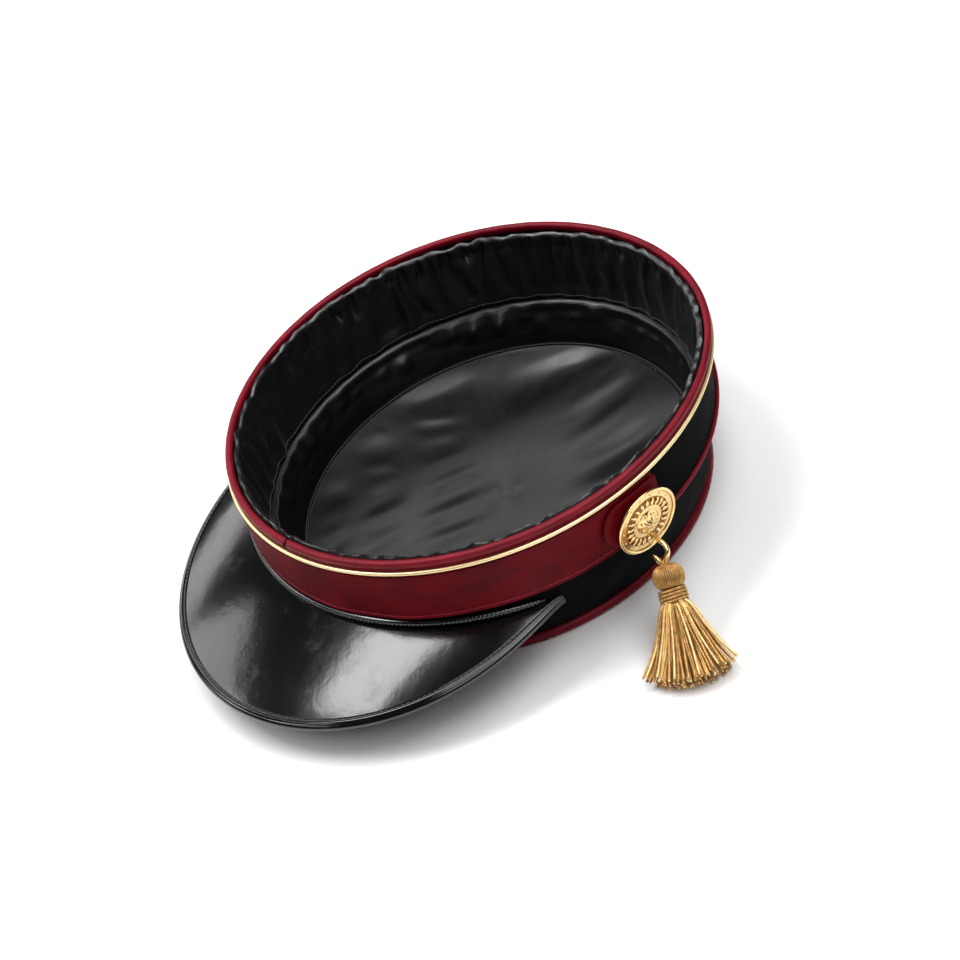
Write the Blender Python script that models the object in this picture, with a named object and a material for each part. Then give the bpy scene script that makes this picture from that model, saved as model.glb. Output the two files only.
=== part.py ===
"""Uniform hat: a drum-shaped peaked cap lying mouth up on its flat crown.

Metres, +Z up. The origin is the centre of the crown's flat outer face, the
peak points along -Y and the button with its tassel is on the +X side.
Angles round the hat run from the front (-Y) towards +X.
"""
import math

import bmesh
import bpy
from mathutils import Vector

# Clearance between two pieces that touch.
GAP = 0.0003
# Clearance behind the loose lining.
LINING_EASE = 0.0006

# Mouth: the centre line of the rim piping, and its height over the crown's face.
MOUTH_LENGTH = 0.198
MOUTH_WIDTH = 0.192
RIM_HEIGHT = 0.0658
RIM_PIPING_HALF_WIDTH = 0.0021
RIM_PIPING_HALF_HEIGHT = 0.0027

# Felt walls: the band is upright, and the crown side tapers in to its piping.
FELT_WALL = 0.0020
FELT_PROUD = 0.0008
BAND_DEPTH = 0.0280
CROWN_INSET = 0.0123
CROWN_PUFF = 0.0012
CROWN_PIPING_RADIUS = 0.0022
CROWN_PIPING_LIFT = 0.0004
CROWN_TOP_THICKNESS = 0.0020

# Behind the button the soft wall is pushed in at its waist, and the rim flares out.
DENT_DEPTH = 0.0028
RIM_FLARE = 0.0012
DENT_ANGLE = math.radians(145)
DENT_SPREAD = math.radians(30)

# Trim on the band.
GOLD_PIPING_RADIUS = 0.0007
GOLD_PIPING_DROP = 0.0037
PANEL_THICKNESS = 0.0012
PANEL_HALF_ANGLE = math.radians(96)
WELT_RADIUS = 0.0007

# Peak: reach from the wall, fall per length, and the strip over its root.
PEAK_HALF_ANGLE = math.radians(68)
PEAK_REACH = 0.0490
PEAK_FALL = 0.36
PEAK_FULLNESS = 1.27
PEAK_THICKNESS = 0.0016
PEAK_CORNER_DIP = 0.0030
BINDING_WIDTH = 0.0036
BINDING_PROUD = 0.0005
BINDING_CORNER_SHARE = 0.45
CORNER_SLIVER = 0.0008
ROOT_STRIP_HEIGHT = 0.0034
ROOT_STRIP_WIDTH = 0.0028
ROOT_STRIP_HALF_ANGLE = math.radians(64)
ROOT_STRIP_END_SHARE = 0.40

# Lining: a gathered upper wall, a padded lower wall and a slack disc.
LINING_THICKNESS = 0.0010
LINING_SEAM_DEPTH = 0.0360
LINING_FOOT_HEIGHT = 0.0090
DISC_SEAM_RISE = 0.0015
LINING_TUCK_DEPTH = 0.00405
GATHER_DEPTH = 0.0010
GATHER_FOOT_SHARE = 0.25
FOLD_DEPTH = 0.0008
FOLD_FOOT_SHARE = 0.1
PAD_DEPTH = 0.0018
PAD_RIPPLE = 0.0008
PAD_WAVES = 9
PAD_TWIST = 3.0
DISC_FLAT_SHARE = 0.62

# Side tab and its button, on the +X side.
TAB_THICKNESS = 0.0012
TAB_TOP_DROP = 0.0068
TAB_BOTTOM_DROP = 0.0252
TAB_START_ANGLE = math.radians(80)
TAB_ROUND_ANGLE = math.radians(5)
TAB_BLUNT_SHARE = 0.04
BUTTON_ANGLE = math.radians(90)
BUTTON_DROP = 0.0203
BUTTON_RADIUS = 0.0142
BUTTON_TILT = math.radians(7)
BUTTON_HEIGHT = 0.0044

# Tassel: it leans out from a wire hook, and its skirt lies on the floor.
HOOK_WIRE_RADIUS = 0.0007
HOOK_BELOW_CENTRE = 0.0080
HOOK_BULGE = 0.0115
HOOK_DROP = 0.0060
HOOK_ENTRY = 0.0018
TASSEL_HEADING = math.radians(-36)
TASSEL_LEAN = math.radians(48)
TASSEL_OUT = 0.0099
TASSEL_FORWARD = 0.0036
TASSEL_TOP_HEIGHT = 0.0306
TASSEL_HEAD_LENGTH = 0.0098
TASSEL_HEAD_RADIUS = 0.0055
TASSEL_NECK_LENGTH = 0.0053
TASSEL_NECK_RADIUS = 0.0047
SKIRT_RUN = 0.0264
SKIRT_HALF_WIDTH = 0.0175
SKIRT_HALF_HEIGHT = 0.0050
SKIRT_LIFT = 0.0004
SKIRT_ROUNDING = 0.0080
LOCK_COUNT = 14
LOCK_SHARE = 0.10

# How sharply a change gathers at its end: the rim's flare, the corners and the disc's edge.
RIM_FLARE_POWER = 8
BINDING_CORNER_POWER = 10
STRIP_END_POWER = 12
DISC_RISE_POWER = 1.5

# Facets.
RING_STEPS = 56
GATHER_STEPS = 100
PANEL_STEPS = 32
WELT_STEPS = 28
STRIP_STEPS = 31
TAB_STEPS = 16
PEAK_STEPS = 30
PEAK_SPANS = 4
CROWN_LEVELS = 4
LINING_LEVELS = 3
PIPE_SIDES = 8
THIN_PIPE_SIDES = 6
BUTTON_SIDES = 24
HOOK_STOPS = 14
WIRE_RESOLUTION = 2

# Heights that follow from the sizes above.
SEAM_HEIGHT = RIM_HEIGHT - BAND_DEPTH
CROWN_PIPING_HEIGHT = CROWN_PIPING_LIFT + CROWN_PIPING_RADIUS
CROWN_SIDE_FOOT = CROWN_PIPING_HEIGHT + CROWN_PIPING_RADIUS + GAP
CROWN_SIDE_TOP = SEAM_HEIGHT - GAP
GOLD_PIPING_HEIGHT = RIM_HEIGHT - GOLD_PIPING_DROP
LINING_SEAM_HEIGHT = RIM_HEIGHT - LINING_SEAM_DEPTH
DISC_SEAM_HEIGHT = LINING_FOOT_HEIGHT + DISC_SEAM_RISE

# Faces that stack outward from the felt.
PANEL_BACK = FELT_PROUD + GAP
PANEL_FACE = PANEL_BACK + PANEL_THICKNESS
TAB_BACK = PANEL_FACE + GAP
TAB_FACE = TAB_BACK + TAB_THICKNESS
BUTTON_BACK = TAB_FACE + GAP

# Button's turned back and rim, as shares of its radius and its height.
BUTTON_RIM = [
    # radius, height
    (0.88, 0.00),
    (0.97, 0.08),
    (1.00, 0.22),
    (0.97, 0.36),
    (0.91, 0.36),
]

# Button's dish inside the rim, and the boss inside the dish, in the same shares.
BUTTON_DISH = [
    # radius, height
    (0.86, 0.26),
    (0.62, 0.36),
    (0.40, 0.40),
]
BUTTON_BOSS = [
    # radius, height
    (0.34, 0.50),
    (0.28, 0.74),
    (0.16, 0.94),
]

# Tassel head from its top recess to the neck: shares of head radius and head length.
HEAD_PROFILE = [
    # radius, distance
    (0.22, 0.26),
    (0.24, 0.02),
    (0.42, 0.00),
    (0.74, 0.10),
    (0.94, 0.28),
    (1.00, 0.52),
    (0.97, 0.76),
    (0.86, 0.96),
]

# Neck wraps: shares of neck radius and neck length.
NECK_PROFILE = [
    # radius, distance
    (0.94, 0.10),
    (1.04, 0.26),
    (0.98, 0.42),
    (1.05, 0.60),
    (0.98, 0.78),
    (1.02, 0.96),
]

# Skirt from neck to tips: shares of its run, of its spread and of its drop.
SKIRT_SECTIONS = [
    # run, spread, drop
    (0.16, 0.16, 0.26),
    (0.36, 0.40, 0.52),
    (0.58, 0.64, 0.74),
    (0.80, 0.85, 0.91),
    (1.00, 1.00, 1.00),
]

# Binding's section: shares of its width outward, and of its half height up.
BINDING_SECTION = [
    # reach, level
    (0.00, 1.00),
    (0.70, 1.00),
    (0.94, 0.65),
    (1.00, 0.00),
    (0.94, -0.65),
    (0.70, -1.00),
    (0.00, -1.00),
]

# Root strip's section: shares of its width outward, and of its height up.
STRIP_SECTION = [
    # reach, level
    (0.00, 0.00),
    (0.75, 0.00),
    (1.00, 0.30),
    (0.92, 0.72),
    (0.55, 1.00),
    (0.00, 1.00),
]

# Slack folds of the lining round the hat.
SLACK_WAVES = [
    # waves, phase, share
    (7, 0.6, 0.3),
    (11, 2.0, 0.2),
]

# Rings of the lining's disc, as shares of its radius.
DISC_RINGS = [0.25, DISC_FLAT_SHARE, 0.85, 1.0]

FINISHES = {
    # name: colour, roughness, metallic
    "crimson_satin": ((0.23, 0.008, 0.022), 0.40, 0.0),
    "black_felt": ((0.008, 0.008, 0.009), 0.85, 0.0),
    "black_patent": ((0.004, 0.004, 0.005), 0.12, 0.0),
    "black_satin": ((0.016, 0.016, 0.019), 0.38, 0.0),
    "gold_cord": ((0.80, 0.55, 0.20), 0.35, 0.6),
    "gilt_metal": ((0.86, 0.56, 0.18), 0.25, 1.0),
}


def remove_scene_objects():
    """Start from an empty scene."""
    for thing in list(bpy.data.objects):
        bpy.data.objects.remove(thing, do_unlink=True)


def finish(name, node):
    """Give a node a material of its own in one of the named finishes."""
    colour, roughness, metallic = FINISHES[name]
    material = bpy.data.materials.new(f"{node}_{name}")
    material.use_nodes = True
    shader = material.node_tree.nodes["Principled BSDF"]
    shader.inputs["Base Color"].default_value = (*colour, 1.0)
    shader.inputs["Roughness"].default_value = roughness
    shader.inputs["Metallic"].default_value = metallic
    return material


def add_solid(name, finish_name, points, faces):
    """Make one closed, outward-facing object from points and faces."""
    body = bmesh.new()
    corners = [body.verts.new(point) for point in points]
    for face in faces:
        body.faces.new([corners[index] for index in face])
    bmesh.ops.recalc_face_normals(body, faces=body.faces)
    bmesh.ops.triangulate(body, faces=body.faces)
    mesh = bpy.data.meshes.new(name)
    body.to_mesh(mesh)
    body.free()
    mesh.materials.append(finish(finish_name, name))
    mesh.shade_smooth()
    mesh.set_sharp_from_angle(angle=math.radians(40))
    thing = bpy.data.objects.new(name, mesh)
    bpy.context.scene.collection.objects.link(thing)
    return thing


def loft(name, finish_name, rings, closed=False):
    """Skin rings of equal length into one body, with flat ends unless it closes."""
    count = len(rings[0])
    points = [point for ring in rings for point in ring]
    faces = []
    spans = len(rings) if closed else len(rings) - 1
    for row in range(spans):
        here = row * count
        there = (row + 1) % len(rings) * count
        for column in range(count):
            after = (column + 1) % count
            faces.append((here + column, here + after, there + after, there + column))
    if not closed:
        last = (len(rings) - 1) * count
        faces.append(tuple(range(count)))
        faces.append(tuple(range(last, last + count)))
    return add_solid(name, finish_name, points, faces)


def oval(angle, offset):
    """Point on the hat's oval, offset outward from the rim piping's centre line."""
    across = (MOUTH_WIDTH / 2 + offset) * math.sin(angle)
    along = -(MOUTH_LENGTH / 2 + offset) * math.cos(angle)
    return across, along


def dent(angle, height):
    """How far the soft wall is pushed in at an angle and a height."""
    away = math.remainder(angle - DENT_ANGLE, math.tau) / DENT_SPREAD
    share = min(1.0, max(0.0, height / RIM_HEIGHT))
    depth = DENT_DEPTH * math.sin(math.pi * share) - RIM_FLARE * share ** RIM_FLARE_POWER
    return depth * math.exp(-away * away)


def sweep(name, finish_name, section, start=0.0, end=math.tau, steps=RING_STEPS):
    """Sweep section(angle), a list of (offset, height), round the oval."""
    whole = math.isclose(end - start, math.tau)
    stops = steps if whole else steps + 1
    rings = []
    for step in range(stops):
        angle = start + (end - start) * step / steps
        ring = []
        for offset, height in section(angle):
            ring.append((*oval(angle, offset - dent(angle, height)), height))
        rings.append(ring)
    return loft(name, finish_name, rings, closed=whole)


def round_section(offset, height, half_width, half_height, sides=PIPE_SIDES):
    """Section of a padded piping, for sweep."""
    corners = []
    for side in range(sides):
        turn = math.tau * (side + 0.5) / sides
        reach = half_width * math.cos(turn)
        corners.append((offset + reach, height + half_height * math.sin(turn)))
    return lambda angle: corners


def between(low, high, share):
    """Value at a share of the way from low to high."""
    return low + (high - low) * share


def side_face(height):
    """Offset of the felt's outer face at a height: upright band, tapered crown side."""
    if height >= CROWN_SIDE_TOP:
        return FELT_PROUD
    share = max(0.0, (height - CROWN_SIDE_FOOT) / (CROWN_SIDE_TOP - CROWN_SIDE_FOOT))
    foot = FELT_WALL / 2 - CROWN_INSET
    return between(foot, FELT_PROUD, share) + CROWN_PUFF * math.sin(math.pi * share)


def lining_back(height):
    """Offset of the lining's hidden side at a height."""
    return side_face(height) - FELT_WALL - LINING_EASE


def build_crown():
    """Flat crown top, its fat piping, and the tapered felt side."""
    edge = -(CROWN_INSET + CROWN_PIPING_RADIUS + GAP)
    rings = []
    for height in (0.0, CROWN_TOP_THICKNESS):
        ring = [(*oval(math.tau * step / RING_STEPS, edge), height) for step in range(RING_STEPS)]
        rings.append(ring)
    loft("crown_top", "black_felt", rings)
    sweep("crown_piping", "crimson_satin",
          round_section(-CROWN_INSET, CROWN_PIPING_HEIGHT, CROWN_PIPING_RADIUS,
                        CROWN_PIPING_RADIUS))
    outer = []
    for step in range(CROWN_LEVELS + 1):
        height = between(CROWN_SIDE_FOOT, CROWN_SIDE_TOP, step / CROWN_LEVELS)
        outer.append((side_face(height), height))
    inner = [(offset - FELT_WALL, height) for offset, height in reversed(outer)]
    sweep("crown_side", "black_felt", lambda angle: outer + inner)


def build_band():
    """Felt band, the crimson panel over its front, and the pipings."""
    top = RIM_HEIGHT - RIM_PIPING_HALF_HEIGHT - GAP
    wall = [
        (FELT_PROUD, SEAM_HEIGHT),
        (FELT_PROUD, top),
        (FELT_PROUD - FELT_WALL, top),
        (FELT_PROUD - FELT_WALL, SEAM_HEIGHT),
    ]
    sweep("band_wall", "black_felt", lambda angle: wall)
    panel_top = GOLD_PIPING_HEIGHT - GOLD_PIPING_RADIUS - GAP
    panel = [
        (PANEL_FACE, SEAM_HEIGHT),
        (PANEL_FACE, panel_top),
        (PANEL_BACK, panel_top),
        (PANEL_BACK, SEAM_HEIGHT),
    ]
    sweep("crimson_band", "crimson_satin", lambda angle: panel,
          -PANEL_HALF_ANGLE, PANEL_HALF_ANGLE, PANEL_STEPS)
    welt_start = PANEL_HALF_ANGLE + GAP / (MOUTH_WIDTH / 2)
    sweep("band_welt", "crimson_satin",
          round_section(FELT_PROUD + GAP + WELT_RADIUS, SEAM_HEIGHT, WELT_RADIUS, WELT_RADIUS,
                        THIN_PIPE_SIDES),
          welt_start, math.tau - welt_start, WELT_STEPS)
    sweep("gold_piping", "gold_cord",
          round_section(FELT_PROUD + GAP + GOLD_PIPING_RADIUS, GOLD_PIPING_HEIGHT,
                        GOLD_PIPING_RADIUS, GOLD_PIPING_RADIUS, THIN_PIPE_SIDES))
    sweep("rim_piping", "crimson_satin",
          round_section(0.0, RIM_HEIGHT, RIM_PIPING_HALF_WIDTH, RIM_PIPING_HALF_HEIGHT))


def lining_folds(angle, share):
    """Inward depth of the gathers and slack folds; share runs from seam to mouth."""
    gathers = (1 - math.cos(angle * GATHER_STEPS / 2)) / 2
    slack = 0.5 + sum(size * math.sin(waves * angle + phase) for waves, phase, size in SLACK_WAVES)
    fade = math.sin(math.pi * between(FOLD_FOOT_SHARE, 1.0, share))
    return GATHER_DEPTH * gathers * between(GATHER_FOOT_SHARE, 1.0, share) + FOLD_DEPTH * slack * fade


def build_lining():
    """Gathered upper wall, padded lower wall and the slack disc over the crown."""
    tuck = -(RIM_PIPING_HALF_WIDTH + LINING_EASE)
    under_rim = RIM_HEIGHT - LINING_TUCK_DEPTH
    heights = [RIM_HEIGHT]
    for step in range(LINING_LEVELS + 1):
        heights.append(between(under_rim, LINING_SEAM_HEIGHT, step / LINING_LEVELS))

    def back(height):
        return min(tuck, lining_back(height)) if height > under_rim else lining_back(height)

    def upper(angle):
        outer = [(back(height), height) for height in heights]
        inner = []
        for offset, height in reversed(outer):
            share = (height - LINING_SEAM_HEIGHT) / (RIM_HEIGHT - LINING_SEAM_HEIGHT)
            inner.append((offset - LINING_THICKNESS - lining_folds(angle, share), height))
        return outer + inner

    sweep("lining_wall", "black_satin", upper, steps=GATHER_STEPS)

    top = LINING_SEAM_HEIGHT - GAP
    levels = [between(LINING_FOOT_HEIGHT, top, step / LINING_LEVELS) for step in range(LINING_LEVELS + 1)]

    def lower(angle):
        outer = [(lining_back(height), height) for height in levels]
        inner = []
        for offset, height in reversed(outer):
            share = (height - LINING_FOOT_HEIGHT) / (top - LINING_FOOT_HEIGHT)
            swell = math.sin(math.pi * share)
            ripple = (1 + math.sin(PAD_WAVES * angle + PAD_TWIST * share)) / 2
            inner.append((offset - LINING_THICKNESS - swell * (PAD_DEPTH + PAD_RIPPLE * ripple), height))
        return outer + inner

    sweep("lining_lower", "black_satin", lower)

    rings = []
    edge = lining_back(DISC_SEAM_HEIGHT) - LINING_THICKNESS - PAD_DEPTH - PAD_RIPPLE - GAP
    floor = CROWN_TOP_THICKNESS + GAP

    def dish(share):
        rise = max(0.0, (share - DISC_FLAT_SHARE) / (1 - DISC_FLAT_SHARE))
        return between(floor, DISC_SEAM_HEIGHT, rise ** DISC_RISE_POWER)

    for thickness, order in ((0.0, DISC_RINGS), (LINING_THICKNESS, DISC_RINGS[::-1])):
        for share in order:
            ring = []
            for step in range(RING_STEPS):
                angle = math.tau * step / RING_STEPS
                across, along = oval(angle, edge - dent(angle, DISC_SEAM_HEIGHT))
                ring.append((across * share, along * share, dish(share) + thickness))
            rings.append(ring)
    loft("lining_disc", "black_satin", rings)


def corner_dip(angle):
    """How far the peak's root drops at an angle, most at its corners."""
    return PEAK_CORNER_DIP * min(1.0, abs(angle) / PEAK_HALF_ANGLE) ** 2


def root_height(angle):
    """Height of the peak's upper face where it meets the wall."""
    return SEAM_HEIGHT - GAP - ROOT_STRIP_HEIGHT - GAP - corner_dip(angle)


def root_offset(angle):
    """Offset of the peak's inner edge, clear of the crown side."""
    return side_face(root_height(angle)) + GAP


def binding_width(share):
    """Width of the binding, full along the edge and narrower at the corners."""
    return BINDING_WIDTH * between(1.0, BINDING_CORNER_SHARE, abs(share) ** BINDING_CORNER_POWER)


def peak_edge(share):
    """Outer edge in plan at share -1 to 1 of the half angle."""
    angle = share * PEAK_HALF_ANGLE
    corner = binding_width(1.0) + GAP + CORNER_SLIVER
    reach = between(corner, PEAK_REACH, max(0.0, 1 - share * share) ** PEAK_FULLNESS)
    point = Vector(oval(angle, root_offset(angle)))
    return point + point.normalized() * reach


def peak_height(point):
    """Height of the peak's upper face over a point in plan."""
    angle = math.atan2(point.x / MOUTH_WIDTH, -point.y / MOUTH_LENGTH)
    root = Vector(oval(angle, root_offset(angle)))
    return root_height(angle) - PEAK_FALL * (point.length - root.length)


def peak_normal(share):
    """Outward direction of the peak's edge in plan."""
    step = 0.5 / PEAK_STEPS
    along = peak_edge(min(1.0, share + step)) - peak_edge(max(-1.0, share - step))
    return Vector((along.y, -along.x)).normalized()


def build_peak():
    """Patent peak, the binding round its edge and the strip over its root."""
    plate = []
    binding = []
    for step in range(PEAK_STEPS + 1):
        share = 2 * step / PEAK_STEPS - 1
        angle = share * PEAK_HALF_ANGLE
        edge = peak_edge(share)
        normal = peak_normal(share)
        root = Vector(oval(angle, root_offset(angle)))
        width = binding_width(share)
        inner = edge - normal * (width + GAP)
        spots = [root.lerp(inner, part / PEAK_SPANS) for part in range(PEAK_SPANS + 1)]
        upper = [(spot.x, spot.y, peak_height(spot)) for spot in spots]
        lower = [(x, y, height - PEAK_THICKNESS) for x, y, height in reversed(upper)]
        plate.append(upper + lower)
        ring = []
        for reach, level in BINDING_SECTION:
            spot = edge - normal * width * (1 - reach)
            middle = peak_height(spot) - PEAK_THICKNESS / 2
            ring.append((spot.x, spot.y, middle + level * (PEAK_THICKNESS / 2 + BINDING_PROUD)))
        binding.append(ring)
    loft("peak", "black_patent", plate)
    loft("peak_binding", "black_patent", binding)

    def strip(angle):
        away = abs(angle) / ROOT_STRIP_HALF_ANGLE
        taper = between(1.0, ROOT_STRIP_END_SHARE, away ** STRIP_END_POWER)
        foot = root_height(angle) + GAP
        corners = []
        for reach, level in STRIP_SECTION:
            height = foot + ROOT_STRIP_HEIGHT * level * taper
            corners.append((side_face(height) + GAP + ROOT_STRIP_WIDTH * reach * taper, height))
        return corners

    sweep("peak_root_strip", "black_patent", strip,
          -ROOT_STRIP_HALF_ANGLE, ROOT_STRIP_HALF_ANGLE, STRIP_STEPS)


def build_tab():
    """Crimson tab with a rounded front end, over the panel's end."""
    top = RIM_HEIGHT - TAB_TOP_DROP
    bottom = RIM_HEIGHT - TAB_BOTTOM_DROP
    middle = (top + bottom) / 2

    def section(angle):
        into = min(1.0, (angle - TAB_START_ANGLE) / TAB_ROUND_ANGLE + TAB_BLUNT_SHARE)
        half = (top - middle) * math.sqrt(1 - (1 - into) ** 2)
        return [
            (TAB_FACE, middle - half),
            (TAB_FACE, middle + half),
            (TAB_BACK, middle + half),
            (TAB_BACK, middle - half),
        ]

    sweep("side_tab", "crimson_satin", section, TAB_START_ANGLE, PANEL_HALF_ANGLE, TAB_STEPS)


def button_place():
    """Centre of the button's back face, its outward axis and its upward edge direction."""
    outward = Vector((math.cos(BUTTON_TILT), 0.0, -math.sin(BUTTON_TILT)))
    upward = Vector((math.sin(BUTTON_TILT), 0.0, math.cos(BUTTON_TILT)))
    over_tab = (TAB_BOTTOM_DROP - BUTTON_DROP) * math.tan(BUTTON_TILT)
    height = RIM_HEIGHT - BUTTON_DROP
    offset = BUTTON_BACK + over_tab - dent(BUTTON_ANGLE, height)
    return Vector((*oval(BUTTON_ANGLE, offset), height)), outward, upward


def build_button():
    """Turned gilt button with a raised rim, a dish and a central boss."""
    centre, outward, upward = button_place()
    rings = []
    for radius, height in BUTTON_RIM + BUTTON_DISH + BUTTON_BOSS:
        ring = []
        for side in range(BUTTON_SIDES):
            turn = math.tau * side / BUTTON_SIDES
            reach = Vector((0.0, 1.0, 0.0)) * math.cos(turn) + upward * math.sin(turn)
            spot = centre + outward * height * BUTTON_HEIGHT
            ring.append(spot + reach * radius * BUTTON_RADIUS)
        rings.append(ring)
    loft("side_button", "gilt_metal", rings)


def tassel_frame():
    """Top of the tassel's head, its lean, its heading and its sideways direction."""
    face = button_place()[0].x
    top = Vector((face + TASSEL_OUT, -TASSEL_FORWARD, TASSEL_TOP_HEIGHT))
    heading = Vector((math.cos(TASSEL_HEADING), math.sin(TASSEL_HEADING), 0.0))
    lean = heading * math.cos(TASSEL_LEAN) - Vector((0, 0, math.sin(TASSEL_LEAN)))
    sideways = Vector((-heading.y, heading.x, 0.0))
    return top, lean, heading, sideways


def tassel_ring(centre, sideways, upward, half_width, half_height, locks):
    """One closed section of the tassel, grooved between its locks."""
    ring = []
    count = 2 * LOCK_COUNT
    for side in range(count):
        turn = math.tau * side / count
        groove = 1.0 - locks * (side % 2)
        reach = sideways * half_width * math.cos(turn) + upward * half_height * math.sin(turn)
        ring.append(centre + reach * groove)
    return ring


def build_tassel():
    """Tassel's head, wrapped neck and skirt of locks, fused into one body."""
    top, lean, heading, sideways = tassel_frame()
    upward = sideways.cross(lean)
    if upward.z < 0:
        upward = -upward
    rings = []
    for radius, distance in HEAD_PROFILE:
        size = radius * TASSEL_HEAD_RADIUS
        centre = top + lean * distance * TASSEL_HEAD_LENGTH
        rings.append(tassel_ring(centre, sideways, upward, size, size, 0.0))
    for radius, distance in NECK_PROFILE:
        size = radius * TASSEL_NECK_RADIUS
        centre = top + lean * (TASSEL_HEAD_LENGTH + distance * TASSEL_NECK_LENGTH)
        rings.append(tassel_ring(centre, sideways, upward, size, size, 0.0))
    neck = top + lean * (TASSEL_HEAD_LENGTH + TASSEL_NECK_LENGTH)
    rest = SKIRT_HALF_HEIGHT + SKIRT_LIFT
    for run, spread, drop in SKIRT_SECTIONS:
        centre = neck + heading * run * SKIRT_RUN
        centre.z = between(neck.z, rest, drop)
        half_width = between(TASSEL_NECK_RADIUS, SKIRT_HALF_WIDTH, spread)
        half_height = between(TASSEL_NECK_RADIUS, SKIRT_HALF_HEIGHT, spread)
        tilt = upward.lerp(Vector((0, 0, 1)), run).normalized()
        ring = tassel_ring(centre, sideways, tilt, half_width, half_height, LOCK_SHARE)
        for index, point in enumerate(ring):
            aside = (point - centre).dot(sideways) / half_width
            ring[index] = point - heading * SKIRT_ROUNDING * run * aside * aside
        rings.append(ring)
    loft("tassel", "gold_cord", rings)


def dish_height(radius):
    """Height of the button's dish at a radius."""
    share = radius / BUTTON_RADIUS
    for (wide, low), (narrow, high) in zip(BUTTON_DISH, BUTTON_DISH[1:]):
        if narrow <= share <= wide:
            return BUTTON_HEIGHT * between(high, low, (share - narrow) / (wide - narrow))
    return BUTTON_HEIGHT * BUTTON_DISH[-1][1]


def build_hook():
    """Bent wire from the button's face into the top of the tassel's head."""
    top, lean = tassel_frame()[:2]
    centre, outward, upward = button_place()
    face = dish_height(HOOK_BELOW_CENTRE - HOOK_WIRE_RADIUS) + GAP
    start = centre + outward * face - upward * HOOK_BELOW_CENTRE
    end = top + lean * HOOK_ENTRY
    first = start + outward * HOOK_BULGE
    second = end - lean * HOOK_DROP
    wire = bpy.data.curves.new("tassel_hook", "CURVE")
    wire.dimensions = "3D"
    wire.bevel_depth = HOOK_WIRE_RADIUS
    wire.bevel_resolution = WIRE_RESOLUTION
    wire.use_fill_caps = True
    spline = wire.splines.new("POLY")
    spline.points.add(HOOK_STOPS)
    for stop in range(HOOK_STOPS + 1):
        t = stop / HOOK_STOPS
        point = start * (1 - t) ** 3 + first * 3 * t * (1 - t) ** 2
        point += second * 3 * t * t * (1 - t) + end * t ** 3
        spline.points[stop].co = (*point, 1.0)
    wire.materials.append(finish("gilt_metal", "tassel_hook"))
    thing = bpy.data.objects.new("tassel_hook", wire)
    bpy.context.scene.collection.objects.link(thing)


def main():
    """Build every piece of the hat."""
    remove_scene_objects()
    build_crown()
    build_band()
    build_lining()
    build_peak()
    build_tab()
    build_button()
    build_tassel()
    build_hook()


main()
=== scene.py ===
import logging
import math
from dataclasses import dataclass, field
from enum import Enum
from typing import Optional, Sequence

import bpy
import numpy as np
from mathutils import Matrix, Quaternion, Vector


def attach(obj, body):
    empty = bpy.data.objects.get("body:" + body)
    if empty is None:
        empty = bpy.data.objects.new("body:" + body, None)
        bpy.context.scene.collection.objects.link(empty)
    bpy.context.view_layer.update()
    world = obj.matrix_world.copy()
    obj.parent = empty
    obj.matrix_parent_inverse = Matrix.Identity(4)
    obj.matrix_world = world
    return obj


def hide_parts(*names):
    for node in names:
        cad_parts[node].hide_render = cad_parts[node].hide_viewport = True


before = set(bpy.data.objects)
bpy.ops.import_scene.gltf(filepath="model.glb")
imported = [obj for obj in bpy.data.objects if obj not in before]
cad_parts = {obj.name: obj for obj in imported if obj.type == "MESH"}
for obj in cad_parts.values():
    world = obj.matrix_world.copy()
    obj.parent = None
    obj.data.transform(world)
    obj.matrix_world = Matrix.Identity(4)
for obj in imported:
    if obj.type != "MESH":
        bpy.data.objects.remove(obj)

LOG = logging.getLogger("uniform_hat")
TURN = math.tau
BODY = "root"
CLOTH_MAP = "cloth"
LIE = "lie"
TONE = "tone"

Array = np.ndarray
Socket = bpy.types.NodeSocket
Material = bpy.types.Material
Piece = bpy.types.Object


class Slot(Enum):
    """Material slots of the record that each piece names; its finish is set directly."""

    CRIMSON = "crimson_satin"
    FELT = "black_felt"
    LINING = "black_satin"
    PATENT = "black_patent"
    GOLD_CORD = "gold_cord"
    GILT = "gilt_metal"


class Wrap(Enum):
    """Which way a skin of rows closes on itself."""

    TUBE = "tube"
    RING = "ring"


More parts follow.
